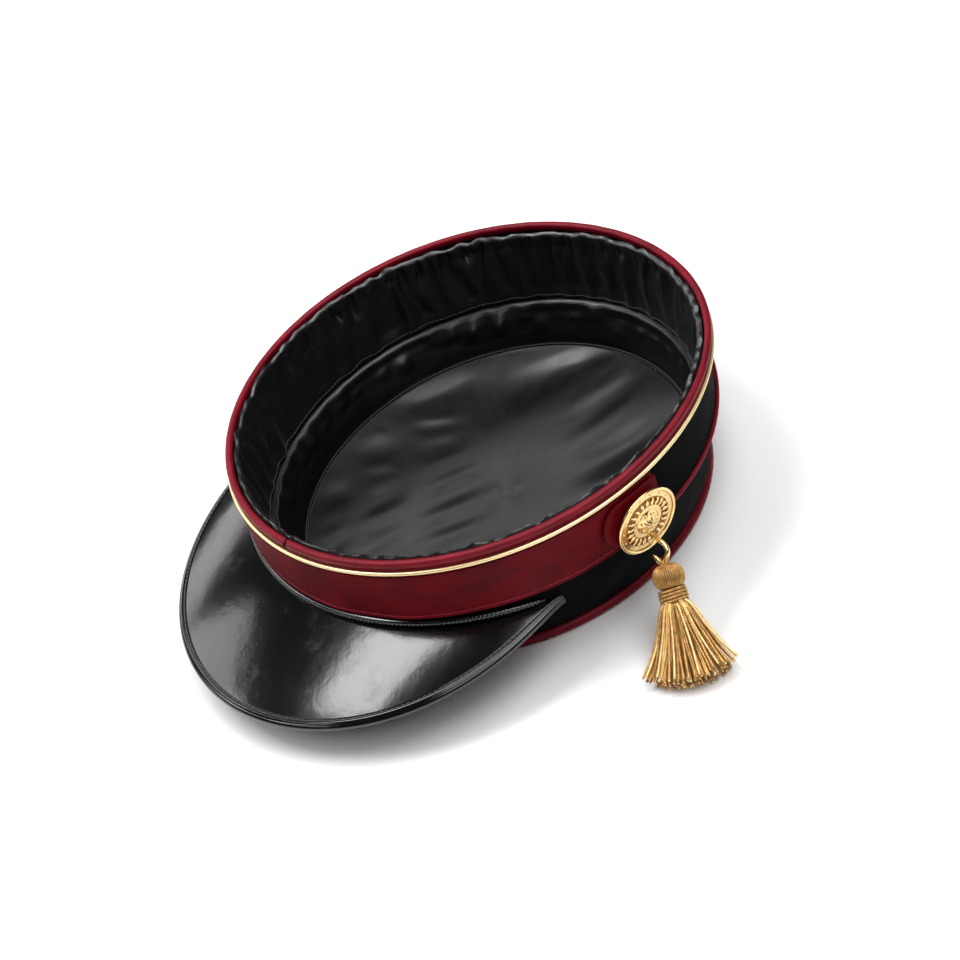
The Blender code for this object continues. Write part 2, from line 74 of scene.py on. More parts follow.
class Graph:
    """Adds and joins nodes of one tree with little writing."""

    def __init__(self, tree: bpy.types.NodeTree) -> None:
        """Keep the shader or geometry tree to build in."""
        self.tree = tree

    def node(self, kind: str, inputs: Optional[dict] = None, **settings: object) -> bpy.types.Node:
        """Add a node.

        Args:
            kind: The node's type name.
            inputs: Socket name or index to a value, or to a socket to join.
            **settings: The node's own properties.

        Returns:
            The new node.
        """
        made = self.tree.nodes.new(kind)
        for key, value in settings.items():
            setattr(made, key, value)
        for key, value in (inputs or {}).items():
            socket = made.inputs[key]
            if isinstance(value, Socket):
                self.tree.links.new(value, socket)
            else:
                socket.default_value = value
        return made

    def first(self, kind: str, inputs: Optional[dict] = None, **settings: object) -> Socket:
        """Add a node and return its first output."""
        return self.node(kind, inputs, **settings).outputs[0]

    def maths(self, operation: str, first: object, second: object = 0.0, clamp: bool = False) -> Socket:
        """Return the result of a Math node on one or two numbers or sockets."""
        return self.first("ShaderNodeMath", {0: first, 1: second}, operation=operation, use_clamp=clamp)

    def vector(self, operation: str, first: object, second: object = (0.0, 0.0, 0.0)) -> Socket:
        """Return the vector of a Vector Math node on one or two vectors or sockets."""
        return self.first("ShaderNodeVectorMath", {0: first, 1: second}, operation=operation)

    def scaled(self, vector: object, amount: object) -> Socket:
        """Return a vector times a number, each of them a value or a socket."""
        return self.first("ShaderNodeVectorMath", {0: vector, "Scale": amount}, operation="SCALE")

    def combine(self, across: object = 0.0, along: object = 0.0, up: object = 0.0) -> Socket:
        """Return a vector from three numbers or sockets."""
        return self.first("ShaderNodeCombineXYZ", {"X": across, "Y": along, "Z": up})


class Shader(Graph):
    """A material's nodes around one Principled shader."""

    def __init__(self, name: str) -> None:
        """Start a material.

        Args:
            name: The material's name.
        """
        self.material = bpy.data.materials.new(name)
        self.material.use_nodes = True
        super().__init__(self.material.node_tree)
        self.surface = self.tree.nodes["Principled BSDF"]

    def plain(self, **values: object) -> None:
        """Set values on the shader's own sockets, with _ in a name for each space."""
        for key, value in values.items():
            self.surface.inputs[key.replace("_", " ")].default_value = value

    def join(self, socket: Socket, name: str) -> None:
        """Join a socket to the shader's input of that name."""
        self.tree.links.new(socket, self.surface.inputs[name])

    def place(self) -> Socket:
        """Return Object coordinates."""
        return self.node("ShaderNodeTexCoord").outputs["Object"]

    def cloth(self) -> Socket:
        """Return the piece's own cloth coordinates, in metres along and across it."""
        return self.node("ShaderNodeAttribute", attribute_name=CLOTH_MAP).outputs["Vector"]

    def noise(self, where: Socket, scale: float, detail: float = 3.0, roughness: float = 0.55,
              stretch: Sequence[float] = (1.0, 1.0, 1.0)) -> Socket:
        """Return a noise value from 0 to 1, with its features counted for each metre."""
        spot = self.vector("MULTIPLY", where, tuple(stretch))
        return self.first("ShaderNodeTexNoise",
                          {"Vector": spot, "Scale": scale, "Detail": detail, "Roughness": roughness})

    def stripes(self, where: Socket, along: Sequence[float], pitch: float) -> Socket:
        """Return soft parallel ridges from 0 to 1, with their pitch in metres along a direction."""
        dot = self.node("ShaderNodeVectorMath", {0: where, 1: tuple(along)}, operation="DOT_PRODUCT").outputs["Value"]
        return self.maths("MULTIPLY_ADD", self.maths("SINE", self.maths("MULTIPLY", dot, TURN / pitch)), 0.5)

    def ramp(self, value: Socket, stops: Sequence[tuple]) -> Socket:
        """Turn a value into a colour through a ramp.

        Args:
            value: Value from 0 to 1.
            stops: Pairs of a place and a linear colour.

        Returns:
            The colour's socket.
        """
        made = self.node("ShaderNodeValToRGB", {"Fac": value})
        elements = made.color_ramp.elements
        while len(elements) < len(stops):
            elements.new(0.5)
        for element, (spot, colour) in zip(elements, stops):
            element.position = spot
            element.color = (*colour, 1.0)
        return made.outputs["Color"]

    def spread(self, value: Socket, low: float, high: float, source: Sequence[float] = (0.0, 1.0)) -> Socket:
        """Return a value mapped from the source's range onto the range from low to high."""
        settings = {"Value": value, "From Min": source[0], "From Max": source[1], "To Min": low, "To Max": high}
        return self.node("ShaderNodeMapRange", settings).outputs["Result"]

    def blend(self, share: object, first: object, second: object) -> Socket:
        """Return a mix of two linear colours or sockets, with this share of the second."""
        sockets = {0: share, 6: self.colour(first), 7: self.colour(second)}
        return self.node("ShaderNodeMix", sockets, data_type="RGBA").outputs[2]

    @staticmethod
    def colour(value: object) -> object:
        """Return a colour with its alpha, or a socket as it is."""
        return value if isinstance(value, Socket) else (*value, 1.0)

    def bump(self, height: Socket, distance: float, strength: float = 1.0,
             under: Optional[Socket] = None) -> Socket:
        """Return a normal raised by a height, with a distance in metres for a height of 1, over a coarser bump."""
        normal = {} if under is None else {"Normal": under}
        return self.first("ShaderNodeBump", {"Height": height, "Distance": distance, "Strength": strength, **normal})


@dataclass(frozen=True)
class SatinFinish:
    """Woven satin with fine floats, soft slubs and a sheen."""

    name: str
    deep: tuple
    main: tuple
    bright: tuple
    roughness: float = 0.45
    sheen: float = 0.25
    sheen_tint: tuple = (1.0, 1.0, 1.0)
    float_pitch: float = 0.00042
    weave_depth: float = 0.00003
    crease_depth: float = 0.0
    specular: float = 0.5

    def build(self) -> Material:
        """Make the material."""
        shader = Shader(self.name)
        where = shader.cloth()
        slub = shader.noise(where, 260.0, 4.0, stretch=(0.25, 1.0, 1.0))
        cloud = shader.noise(shader.place(), 55.0, 3.0)
        shade = shader.maths("ADD", shader.maths("MULTIPLY", slub, 0.45), shader.maths("MULTIPLY", cloud, 0.55))
        base = shader.ramp(shade, [(0.30, self.deep), (0.52, self.main), (0.74, self.bright)])
        floats = shader.stripes(where, (0.5, 0.87, 0.0), self.float_pitch)
        cross = shader.stripes(where, (0.95, -0.31, 0.0), self.float_pitch * 2.7)
        weave = shader.maths("MULTIPLY", floats, shader.maths("MULTIPLY_ADD", cross, 0.5))
        shader.join(shader.blend(shader.maths("MULTIPLY", weave, 0.22), base, self.deep), "Base Color")
        shader.join(shader.spread(slub, self.roughness - 0.07, self.roughness + 0.09), "Roughness")
        normal = shader.bump(weave, self.weave_depth, 0.6)
        if self.crease_depth:
            crease = shader.noise(where, 330.0, 2.0, stretch=(1.0, 0.35, 1.0))
            normal = shader.bump(crease, self.crease_depth, 0.8, normal)
        shader.join(normal, "Normal")
        shader.plain(Sheen_Weight=self.sheen, Sheen_Roughness=0.35, Sheen_Tint=(*self.sheen_tint, 1.0),
                     Specular_IOR_Level=self.specular)
        return shader.material


@dataclass(frozen=True)
class FeltFinish:
    """Pressed wool felt: matted fibres, lint and a soft nap."""

    name: str
    deep: tuple
    main: tuple
    lint: tuple

    def build(self) -> Material:
        """Make the material."""
        shader = Shader(self.name)
        where = shader.place()
        mat = shader.noise(where, 900.0, 5.0, 0.7)
        worn = shader.noise(where, 40.0, 3.0)
        fibre = shader.noise(where, 2600.0, 2.0, stretch=(1.0, 1.0, 0.3))
        shade = shader.maths("ADD", shader.maths("MULTIPLY", mat, 0.6), shader.maths("MULTIPLY", worn, 0.4))
        base = shader.ramp(shade, [(0.30, self.deep), (0.62, self.main)])
        speck = shader.spread(fibre, 0.0, 1.0, (0.66, 0.78))
        shader.join(shader.blend(shader.maths("MULTIPLY", speck, 0.35), base, self.lint), "Base Color")
        shader.join(shader.spread(mat, 0.78, 0.95), "Roughness")
        normal = shader.bump(mat, 0.00022, 0.7)
        shader.join(shader.bump(fibre, 0.00006, 0.5, normal), "Normal")
        shader.plain(Sheen_Weight=0.01, Sheen_Roughness=0.5, Sheen_Tint=(0.75, 0.78, 0.8, 1.0),
                     Specular_IOR_Level=0.05)
        return shader.material


@dataclass(frozen=True)
class PatentFinish:
    """Lacquered leather: a hard gloss over a faint grain, with fine scuffs."""

    name: str
    main: tuple
    scuff: tuple
    roughness: float = 0.15
    grain: float = 0.00003
    wave: float = 0.00024
    specular: float = 0.44

    def build(self) -> Material:
        """Make the material."""
        shader = Shader(self.name)
        where = shader.place()
        grain = shader.node("ShaderNodeTexVoronoi", {"Vector": where, "Scale": 750.0}, feature="SMOOTH_F1")
        orange = shader.noise(where, 420.0, 3.0)
        worn = shader.spread(shader.noise(where, 70.0, 6.0, 0.7), 0.0, 1.0, (0.56, 0.72))
        shader.join(shader.blend(shader.maths("MULTIPLY", worn, 0.25), self.main, self.scuff), "Base Color")
        shader.join(shader.spread(worn, self.roughness, self.roughness + 0.10), "Roughness")
        wave = shader.noise(where, 48.0, 2.0)
        normal = shader.bump(wave, self.wave, 0.8)
        normal = shader.bump(grain.outputs["Distance"], self.grain, 0.35, normal)
        shader.join(shader.bump(orange, self.grain * 1.5, 0.5, normal), "Normal")
        shader.plain(Specular_IOR_Level=self.specular, Coat_Weight=0.12, Coat_Roughness=0.12, Coat_IOR=1.5)
        return shader.material


@dataclass(frozen=True)
class GiltFinish:
    """Gilt brass: polished high spots, and tarnish in the low ones."""

    name: str
    polish: tuple
    tarnish: tuple
    roughness: float = 0.20

    def build(self) -> Material:
        """Make the material."""
        shader = Shader(self.name)
        where = shader.place()
        cloud = shader.noise(where, 240.0, 5.0, 0.6)
        edge = shader.node("ShaderNodeNewGeometry").outputs["Pointiness"]
        low = shader.spread(edge, 1.0, 0.0, (0.44, 0.52))
        dirt = shader.maths("MULTIPLY", low, shader.spread(cloud, 0.35, 1.0), True)
        shader.join(shader.blend(dirt, self.polish, self.tarnish), "Base Color")
        rough = shader.maths("ADD", shader.spread(cloud, self.roughness - 0.05, self.roughness + 0.10),
                             shader.maths("MULTIPLY", dirt, 0.22))
        shader.join(rough, "Roughness")
        shader.join(shader.bump(cloud, 0.00003, 0.3), "Normal")
        shader.plain(Metallic=0.92)
        return shader.material


@dataclass(frozen=True)
class MetalThreadFinish:
    """Fine metal strip wound on a thread core, with a shade of its own for each cord."""

    name: str
    deep: tuple
    main: tuple
    bright: tuple
    roughness: float = 0.32
    metallic: float = 0.85

    def build(self) -> Material:
        """Make the material."""
        shader = Shader(self.name)
        where = shader.place()
        tone = shader.node("ShaderNodeAttribute", attribute_name=TONE).outputs["Fac"]
        cloud = shader.noise(where, 500.0, 3.0)
        shade = shader.maths("ADD", shader.maths("MULTIPLY", tone, 0.45), shader.maths("MULTIPLY", cloud, 0.55))
        shader.join(shader.ramp(shade, [(0.22, self.deep), (0.5, self.main), (0.78, self.bright)]), "Base Color")
        winding = shader.noise(where, 3800.0, 1.0)
        shader.join(shader.spread(winding, self.roughness - 0.08, self.roughness + 0.12), "Roughness")
        shader.join(shader.bump(winding, 0.00006, 0.6), "Normal")
        shader.plain(Metallic=self.metallic, Specular_IOR_Level=0.6)
        return shader.material


@dataclass(frozen=True)
class ThreadFinish:
    """Spun sewing thread."""

    name: str
    deep: tuple
    main: tuple
    roughness: float = 0.5

    def build(self) -> Material:
        """Make the material."""
        shader = Shader(self.name)
        where = shader.place()
        ply = shader.noise(where, 3000.0, 2.0)
        shader.join(shader.ramp(ply, [(0.35, self.deep), (0.6, self.main)]), "Base Color")
        shader.join(shader.spread(ply, self.roughness - 0.08, self.roughness + 0.10), "Roughness")
        shader.join(shader.bump(ply, 0.00005, 0.5), "Normal")
        shader.plain(Sheen_Weight=0.2)
        return shader.material


class Finishes:
    """Every finish of the hat, made once."""

    def __init__(self) -> None:
        """Make the materials."""
        self.crimson = SatinFinish("crimson_cloth", (0.056, 0.0005, 0.0026), (0.110, 0.0010, 0.0050),
                                   (0.165, 0.0026, 0.0090), 0.52, 0.04, (1.0, 0.2, 0.25), specular=0.08).build()
        self.crimson_roll = SatinFinish("crimson_roll_satin", (0.080, 0.0010, 0.0050), (0.165, 0.0026, 0.0110),
                                        (0.250, 0.0070, 0.0200), 0.38, 0.05, (1.0, 0.2, 0.3),
                                        crease_depth=0.00009, specular=0.15).build()
        self.felt = FeltFinish("black_wool_felt", (0.0003, 0.0003, 0.0004), (0.0009, 0.0010, 0.0011),
                               (0.006, 0.0065, 0.007)).build()
        # One black satin in three shades: the wall's copy lighter and more reflective as painted light, the pad's
        # darker as painted shade on the lower wall, the disc's between.
        self.lining = self.black_satin("black_lining_satin", (0.0014, 0.0018), (0.0032, 0.0040), (0.0060, 0.0072),
                                       0.38, 0.02, 0.85)
        self.pad = self.black_satin("black_pad_satin", (0.0004, 0.0005), (0.0010, 0.0013), (0.0020, 0.0025),
                                    0.36, 0.0, 0.50)
        self.disc = self.black_satin("black_disc_satin", (0.0006, 0.0008), (0.0016, 0.0021), (0.0030, 0.0038),
                                     0.31, 0.0, 0.42)
        self.patent = PatentFinish("black_patent", (0.0012, 0.0012, 0.0014), (0.010, 0.010, 0.011)).build()
        self.trim = PatentFinish("black_patent_trim", (0.0012, 0.0012, 0.0014), (0.012, 0.012, 0.013), 0.13,
                                 wave=0.0, specular=0.7).build()
        self.underside = FeltFinish("peak_underside", (0.012, 0.012, 0.012), (0.022, 0.022, 0.023),
                                    (0.05, 0.05, 0.05)).build()
        self.gold_line = GiltFinish("gold_line_foil", (1.0, 0.80, 0.44), (0.97, 0.75, 0.40), 0.34).build()
        self.tassel = MetalThreadFinish("tassel_gold_thread", (0.24, 0.106, 0.026), (0.68, 0.39, 0.12),
                                        (1.0, 0.78, 0.38), 0.36, 0.50).build()
        self.gilt = GiltFinish("gilt_brass", (1.0, 0.72, 0.33), (0.20, 0.085, 0.02), 0.13).build()
        # Dark gilt for the ring under the button's rays: tarnish and painted shade between the rays.
        self.gilt_shadow = GiltFinish("gilt_brass_recess", (0.24, 0.11, 0.025), (0.06, 0.025, 0.006), 0.26).build()
        # Dark thread colour for the tassel's core: painted shade in the gaps between the strands.
        self.tassel_shadow = ThreadFinish("tassel_core_thread", (0.10, 0.045, 0.012), (0.22, 0.11, 0.035)).build()
        self.red_thread = ThreadFinish("red_thread", (0.30, 0.010, 0.02), (0.55, 0.035, 0.05)).build()
        self.black_thread = ThreadFinish("black_thread", (0.012, 0.012, 0.013), (0.05, 0.05, 0.055)).build()
        self.peak_thread = ThreadFinish("waxed_black_thread", (0.02, 0.02, 0.022), (0.10, 0.10, 0.11), 0.3).build()

    @staticmethod
    def black_satin(name: str, deep: tuple, main: tuple, bright: tuple, roughness: float, sheen: float,
                    specular: float) -> Material:
        """Make one of the lining's smooth black satins, in the shade set for where it sits, as painted light and
        shade.

        Args:
            name: The material's name.
            deep: Grey and blue of the deepest shade.
            main: Grey and blue of the main shade.
            bright: Grey and blue of the brightest shade.
            roughness: Middle roughness.
            sheen: Weight of the sheen.
            specular: Level of the reflection.

        Returns:
            The material.
        """
        shades = [(grey, grey, blue) for grey, blue in (deep, main, bright)]
        return SatinFinish(name, *shades, roughness, sheen, (0.8, 0.8, 0.95), float_pitch=0.0003,
                           weave_depth=0.000008, specular=specular).build()


def turned_from(angle: Array, centre: float) -> Array:
    """Return the shortest turn from a centre to each angle."""
    return np.remainder(angle - centre + math.pi, TURN) - math.pi


def squared(wave: Array, power: float) -> Array:
    """Return a sine or cosine with its sign kept and its size raised to a power, for a squarer section."""
    return np.sign(wave) * np.abs(wave) ** power


def bell(away: Array, spread: float) -> Array:
    """Return a smooth bump that is 1 at no distance and falls off over the spread."""
    return np.exp(-(away / spread) ** 2)


@dataclass(frozen=True)
class HatForm:
    """The hat's sizes, in metres, as its solids have them.

    Angles run from the front, -Y, towards +X. Offsets go outward from the
    centre line of the rim's roll.
    """

    gap: float = 0.0003
    mouth_length: float = 0.198
    mouth_width: float = 0.192
    rim_height: float = 0.0658
    felt_wall: float = 0.0020
    felt_proud: float = 0.0008
    band_depth: float = 0.0280
    crown_inset: float = 0.0123
    crown_puff: float = 0.0012
    crown_piping_radius: float = 0.0022
    crown_piping_height: float = 0.0026
    lining_clearance: float = 0.0006
    dent_depth: float = 0.0028
    rim_flare: float = 0.0012
    dent_angle: float = math.radians(145)
    dent_spread: float = math.radians(30)
    panel_half_angle: float = math.radians(96)

    @property
    def seam_height(self) -> float:
        """Height of the seam between band and crown side."""
        return self.rim_height - self.band_depth

    @property
    def crown_side_foot(self) -> float:
        """Height of the crown side's lower edge."""
        return self.crown_piping_height + self.crown_piping_radius + self.gap

    def oval(self, angle: Array, offset: Array) -> tuple:
        """Return the X and Y of points at these angles round the hat and offsets outward."""
        return ((self.mouth_width / 2 + offset) * np.sin(angle), -(self.mouth_length / 2 + offset) * np.cos(angle))

    def dent(self, angle: Array, height: Array) -> Array:
        """Return how far the soft wall is pushed in.

        Args:
            angle: Angles round the hat.
            height: Heights over the floor.

        Returns:
            Depths inward.
        """
        share = np.clip(height / self.rim_height, 0.0, 1.0)
        depth = self.dent_depth * np.sin(math.pi * share) - self.rim_flare * share ** 8
        return depth * bell(turned_from(angle, self.dent_angle), self.dent_spread)

    def side_face(self, height: Array) -> Array:
        """Return how far out the felt's outer face is.

        Args:
            height: Heights over the floor.

        Returns:
            The offset at each height.
        """
        top = self.seam_height - self.gap
        share = np.clip((height - self.crown_side_foot) / (top - self.crown_side_foot), 0.0, 1.0)
        foot = self.felt_wall / 2 - self.crown_inset
        face = foot + (self.felt_proud - foot) * share + self.crown_puff * np.sin(math.pi * share)
        return np.where(height >= top, self.felt_proud, face)

    def lining_back(self, height: Array) -> Array:
        """Return the offset of the lining's hidden side at each height."""
        return self.side_face(height) - self.felt_wall - self.lining_clearance

    def place(self, angle: Array, offset: Array, height: Array) -> Array:
        """Return points on the dented hat.

        Args:
            angle: Angles, shaped to broadcast with the others.
            offset: Offsets outward.
            height: Heights.

        Returns:
            Points, with a last axis of 3.
        """
        angle, offset, height = np.broadcast_arrays(angle, offset, height)
        across, along = self.oval(angle, offset - self.dent(angle, height))
        return np.stack([across, along, height], axis=-1)

    def reach(self, angle: Array, offset: Array, height: Array) -> Array:
        """Return how far from the hat's axis the points on the dented hat are."""
        return np.linalg.norm(self.place(angle, offset, height)[..., :2], axis=-1)


FORM = HatForm()


class Ripple:
    """Smooth seeded noise over an angle and one more coordinate, the same at 0 and a full turn."""

    def __init__(self, seed: int, waves: tuple, rows: tuple = (0.0, 0.0), terms: int = 24) -> None:
        """Draw the waves.

        Args:
            seed: Seed of the draw.
            waves: Fewest and most waves round the hat.
            rows: Fewest and most half waves across the piece.
            terms: Number of waves added up.
        """
        draw = np.random.default_rng(seed)
        self.count = draw.integers(waves[0], waves[1] + 1, terms)
        self.cross = draw.uniform(rows[0], rows[1], terms) * draw.choice([-1.0, 1.0], terms) * math.pi
        self.phase = draw.uniform(0.0, TURN, terms)
        self.size = draw.uniform(0.5, 1.0, terms)
        self.size *= math.sqrt(2.0) / np.linalg.norm(self.size)

    def __call__(self, angle: Array, across: Array = np.zeros(1)) -> Array:
        """Return the noise, mostly between -1.5 and 1.5.

        Args:
            angle: Angles round the hat.
            across: Shares across the piece, from 0 to 1.

        Returns:
            The noise at each place.
        """
        angle, across = np.broadcast_arrays(angle, across)
        total = np.zeros(angle.shape)
        for count, cross, phase, size in zip(self.count, self.cross, self.phase, self.size):
            total += size * np.cos(count * angle + cross * across + phase)
        return total


def angles(steps: int, start: float = 0.0, end: float = TURN) -> Array:
    """Return a column of evenly spaced angles, without the end of a full turn."""
    whole = math.isclose(end - start, TURN)
    return np.linspace(start, end, steps + (0 if whole else 1), endpoint=not whole)[:, None]


def new_object(name: str, mesh: bpy.types.Mesh) -> Piece:
    """Put a mesh in the scene.

    Args:
        name: The object's name.
        mesh: Its mesh.

    Returns:
        The new object.
    """
    made = bpy.data.objects.new(name, mesh)
    bpy.context.scene.collection.objects.link(made)
    return made


def lengths(points: Array, wrap: bool) -> Array:
    """Return the running length along the first axis of a grid of points.

    Args:
        points: Points with axes along, across and XYZ.
        wrap: Whether the last row joins the first.

    Returns:
        Running lengths, one more than the rows where they wrap.
    """
    ends = np.concatenate([points, points[:1]]) if wrap else points
    steps = np.linalg.norm(np.diff(ends, axis=0), axis=-1).mean(axis=1)
    return np.concatenate([[0.0], np.cumsum(steps)])


def skin(name: str, rows: Array, material: Material, wrap: Wrap = Wrap.RING,
         sharp: float = 180.0) -> Piece:
    """Skin rows of closed sections into one closed body with cloth coordinates.

    Args:
        name: The object's name.
        rows: Points with axes along the sweep, round the section and XYZ.
        material: The finish.
        wrap: RING where the sweep closes, TUBE where it has two flat ends.
        sharp: Degrees past which an edge is shaded sharp.

    Returns:
        The new object, with its faces outward.
    """
    along, around = rows.shape[:2]
    ring = wrap is Wrap.RING
    first = np.arange(along if ring else along - 1)[:, None]
    second = np.arange(around)[None, :]
    here, after = first * around, (first + 1) % along * around
    turn = (second + 1) % around
    quads = np.stack([here + second, here + turn, after + turn, after + second], axis=-1).reshape(-1, 4)
    run = lengths(rows, ring)
    girth = lengths(np.swapaxes(rows, 0, 1), True)
    u = np.broadcast_to(first, (len(first), around))
    v = np.broadcast_to(second, (len(first), around))
    marks = np.stack([run[np.stack([u, u, u + 1, u + 1], -1)], girth[np.stack([v, v + 1, v + 1, v], -1)]], -1)
    marks = marks.reshape(-1, 4, 2)
    points = rows.reshape(-1, 3)
    corners = points[quads]
    volume = np.einsum("ij,ij->", corners[:, 0], np.cross(corners[:, 1], corners[:, 2]))
    volume += np.einsum("ij,ij->", corners[:, 0], np.cross(corners[:, 2], corners[:, 3]))
    inside_out = volume < 0
    if inside_out:
        quads, marks = quads[:, ::-1], marks[:, ::-1]
    faces = quads.tolist()
    if not ring:
        head = list(range(around))
        tail = list(range((along - 1) * around, along * around))
        faces += [head, tail[::-1]] if inside_out else [head[::-1], tail]
    mesh = bpy.data.meshes.new(name)
    mesh.from_pydata(points.tolist(), [], faces)
    layer = mesh.attributes.new(CLOTH_MAP, "FLOAT_VECTOR", "CORNER")
    cloth = np.zeros((len(mesh.loops), 3), np.float32)
    cloth[:marks.shape[0] * 4, :2] = marks.reshape(-1, 2)
    layer.data.foreach_set("vector", cloth.ravel())
    mesh.materials.append(material)
    mesh.shade_smooth()
    if sharp < 180.0:
        mesh.set_sharp_from_angle(angle=math.radians(sharp))
    return new_object(name, mesh)


def path_object(name: str, lines: Sequence[Array], normals: Optional[Sequence[Array]] = None,
                closed: bool = False) -> Piece:
    """Make an object of bare edges that a node tree follows.

    Args:
        name: The object's name.
        lines: Points of each line.
        normals: Outward directions at the points of each line.
        closed: Whether each line joins its start.

    Returns:
        The new object.
    """
    edges, start = [], 0
    for line in lines:
        count = len(line)
        edges += [(start + i, start + i + 1) for i in range(count - 1)]
        if closed:
            edges.append((start + count - 1, start))
        start += count
    mesh = bpy.data.meshes.new(name)
    mesh.from_pydata(np.concatenate(lines).tolist(), edges, [])
    if normals is not None:
        layer = mesh.attributes.new(LIE, "FLOAT_VECTOR", "POINT")
        layer.data.foreach_set("vector", np.concatenate(normals).astype(np.float32).ravel())
    return new_object(name, mesh)


class GeometryTree(Graph):
    """A Geometry Nodes tree that ends in realized, finished geometry, with an input for each size and count."""

    sizes: tuple = ()
    counts: tuple = ()

    def __init__(self) -> None:
        """Start the tree and build it."""
        tree = bpy.data.node_groups.new(type(self).__name__, "GeometryNodeTree")
        kinds = {"Geometry": "NodeSocketGeometry", **dict.fromkeys(self.sizes, "NodeSocketFloat"),
                 **dict.fromkeys(self.counts, "NodeSocketInt"), "Finish": "NodeSocketMaterial"}
        for label, kind in kinds.items():
            tree.interface.new_socket(label, in_out="INPUT", socket_type=kind)
        tree.interface.new_socket("Geometry", in_out="OUTPUT", socket_type="NodeSocketGeometry")
        super().__init__(tree)
        self.given = self.node("NodeGroupInput").outputs
        shown = self.build()
        real = self.node("GeometryNodeRealizeInstances", {"Geometry": shown})
        smooth = self.node("GeometryNodeSetShadeSmooth", {"Geometry": real.outputs[0]})
        dressed = self.node("GeometryNodeSetMaterial",
                            {"Geometry": smooth.outputs[0], "Material": self.given["Finish"]})
        self.node("NodeGroupOutput", {"Geometry": dressed.outputs[0]})

    def build(self) -> Socket:
        """Build the tree's own part and return its geometry."""
        raise NotImplementedError

    def run(self, name: str, source: Piece, **values: object) -> Piece:
        """Run the tree on an object and replace it with a plain mesh.

        Args:
            name: The new object's name.
            source: Object that the tree starts from, which is removed.
            **values: Input values by name, with _ for each space.

        Returns:
            The plain object.
        """
        modifier = source.modifiers.new("Repeat", "NODES")
        modifier.node_group = self.tree
        for item in self.tree.interface.items_tree:
            key = item.name.replace(" ", "_")
            if item.in_out == "INPUT" and key in values:
                modifier[item.identifier] = values[key]
        source.update_tag()
        graph = bpy.context.evaluated_depsgraph_get()
        mesh = bpy.data.meshes.new_from_object(source.evaluated_get(graph), depsgraph=graph)
        bpy.data.objects.remove(source, do_unlink=True)
        mesh.name = name
        return new_object(name, mesh)


class StitchRow(GeometryTree):
    """Arched stitches laid along a path, each turned to the surface under it."""

    sizes = ("Pitch", "Length", "Thread", "Slant")

    def build(self) -> Socket:
        """Place one arched stitch at each step of the path."""
        curve = self.node("GeometryNodeMeshToCurve", {"Mesh": self.given["Geometry"]})
        steps = self.node("GeometryNodeResampleCurve", {"Curve": curve.outputs[0], "Length": self.given["Pitch"]},
                          mode="LENGTH")
        half = self.maths("MULTIPLY", self.given["Length"], 0.5)
        sink = self.maths("MULTIPLY", self.given["Thread"], -0.9)
        rise = self.maths("MULTIPLY", self.given["Thread"], 2.2)
        arch = self.node("GeometryNodeCurveQuadraticBezier", {
            "Resolution": 5,
            "Start": self.combine(self.maths("MULTIPLY", half, -1.0), 0.0, sink),
            "Middle": self.combine(0.0, 0.0, rise),
            "End": self.combine(half, 0.0, sink),
        })
        profile = self.node("GeometryNodeCurvePrimitiveCircle", {"Resolution": 5, "Radius": self.given["Thread"]})
        stitch = self.node("GeometryNodeCurveToMesh", {
            "Curve": arch.outputs[0], "Profile Curve": profile.outputs[0], "Fill Caps": True})
        lie = self.first("GeometryNodeInputNamedAttribute", {"Name": LIE}, data_type="FLOAT_VECTOR")
        tangent = self.first("GeometryNodeInputTangent")
        side = self.vector("CROSS_PRODUCT", lie, tangent)
        slanted = self.vector("ADD", tangent, self.scaled(side, self.given["Slant"]))
        upright = self.node("FunctionNodeAlignRotationToVector", {"Vector": lie}, axis="Z")
        turned = self.node("FunctionNodeAlignRotationToVector",
                           {"Rotation": upright.outputs[0], "Vector": slanted}, axis="X", pivot_axis="Z")
        return self.first("GeometryNodeInstanceOnPoints", {
            "Points": steps.outputs[0], "Instance": stitch.outputs[0], "Rotation": turned.outputs[0]})


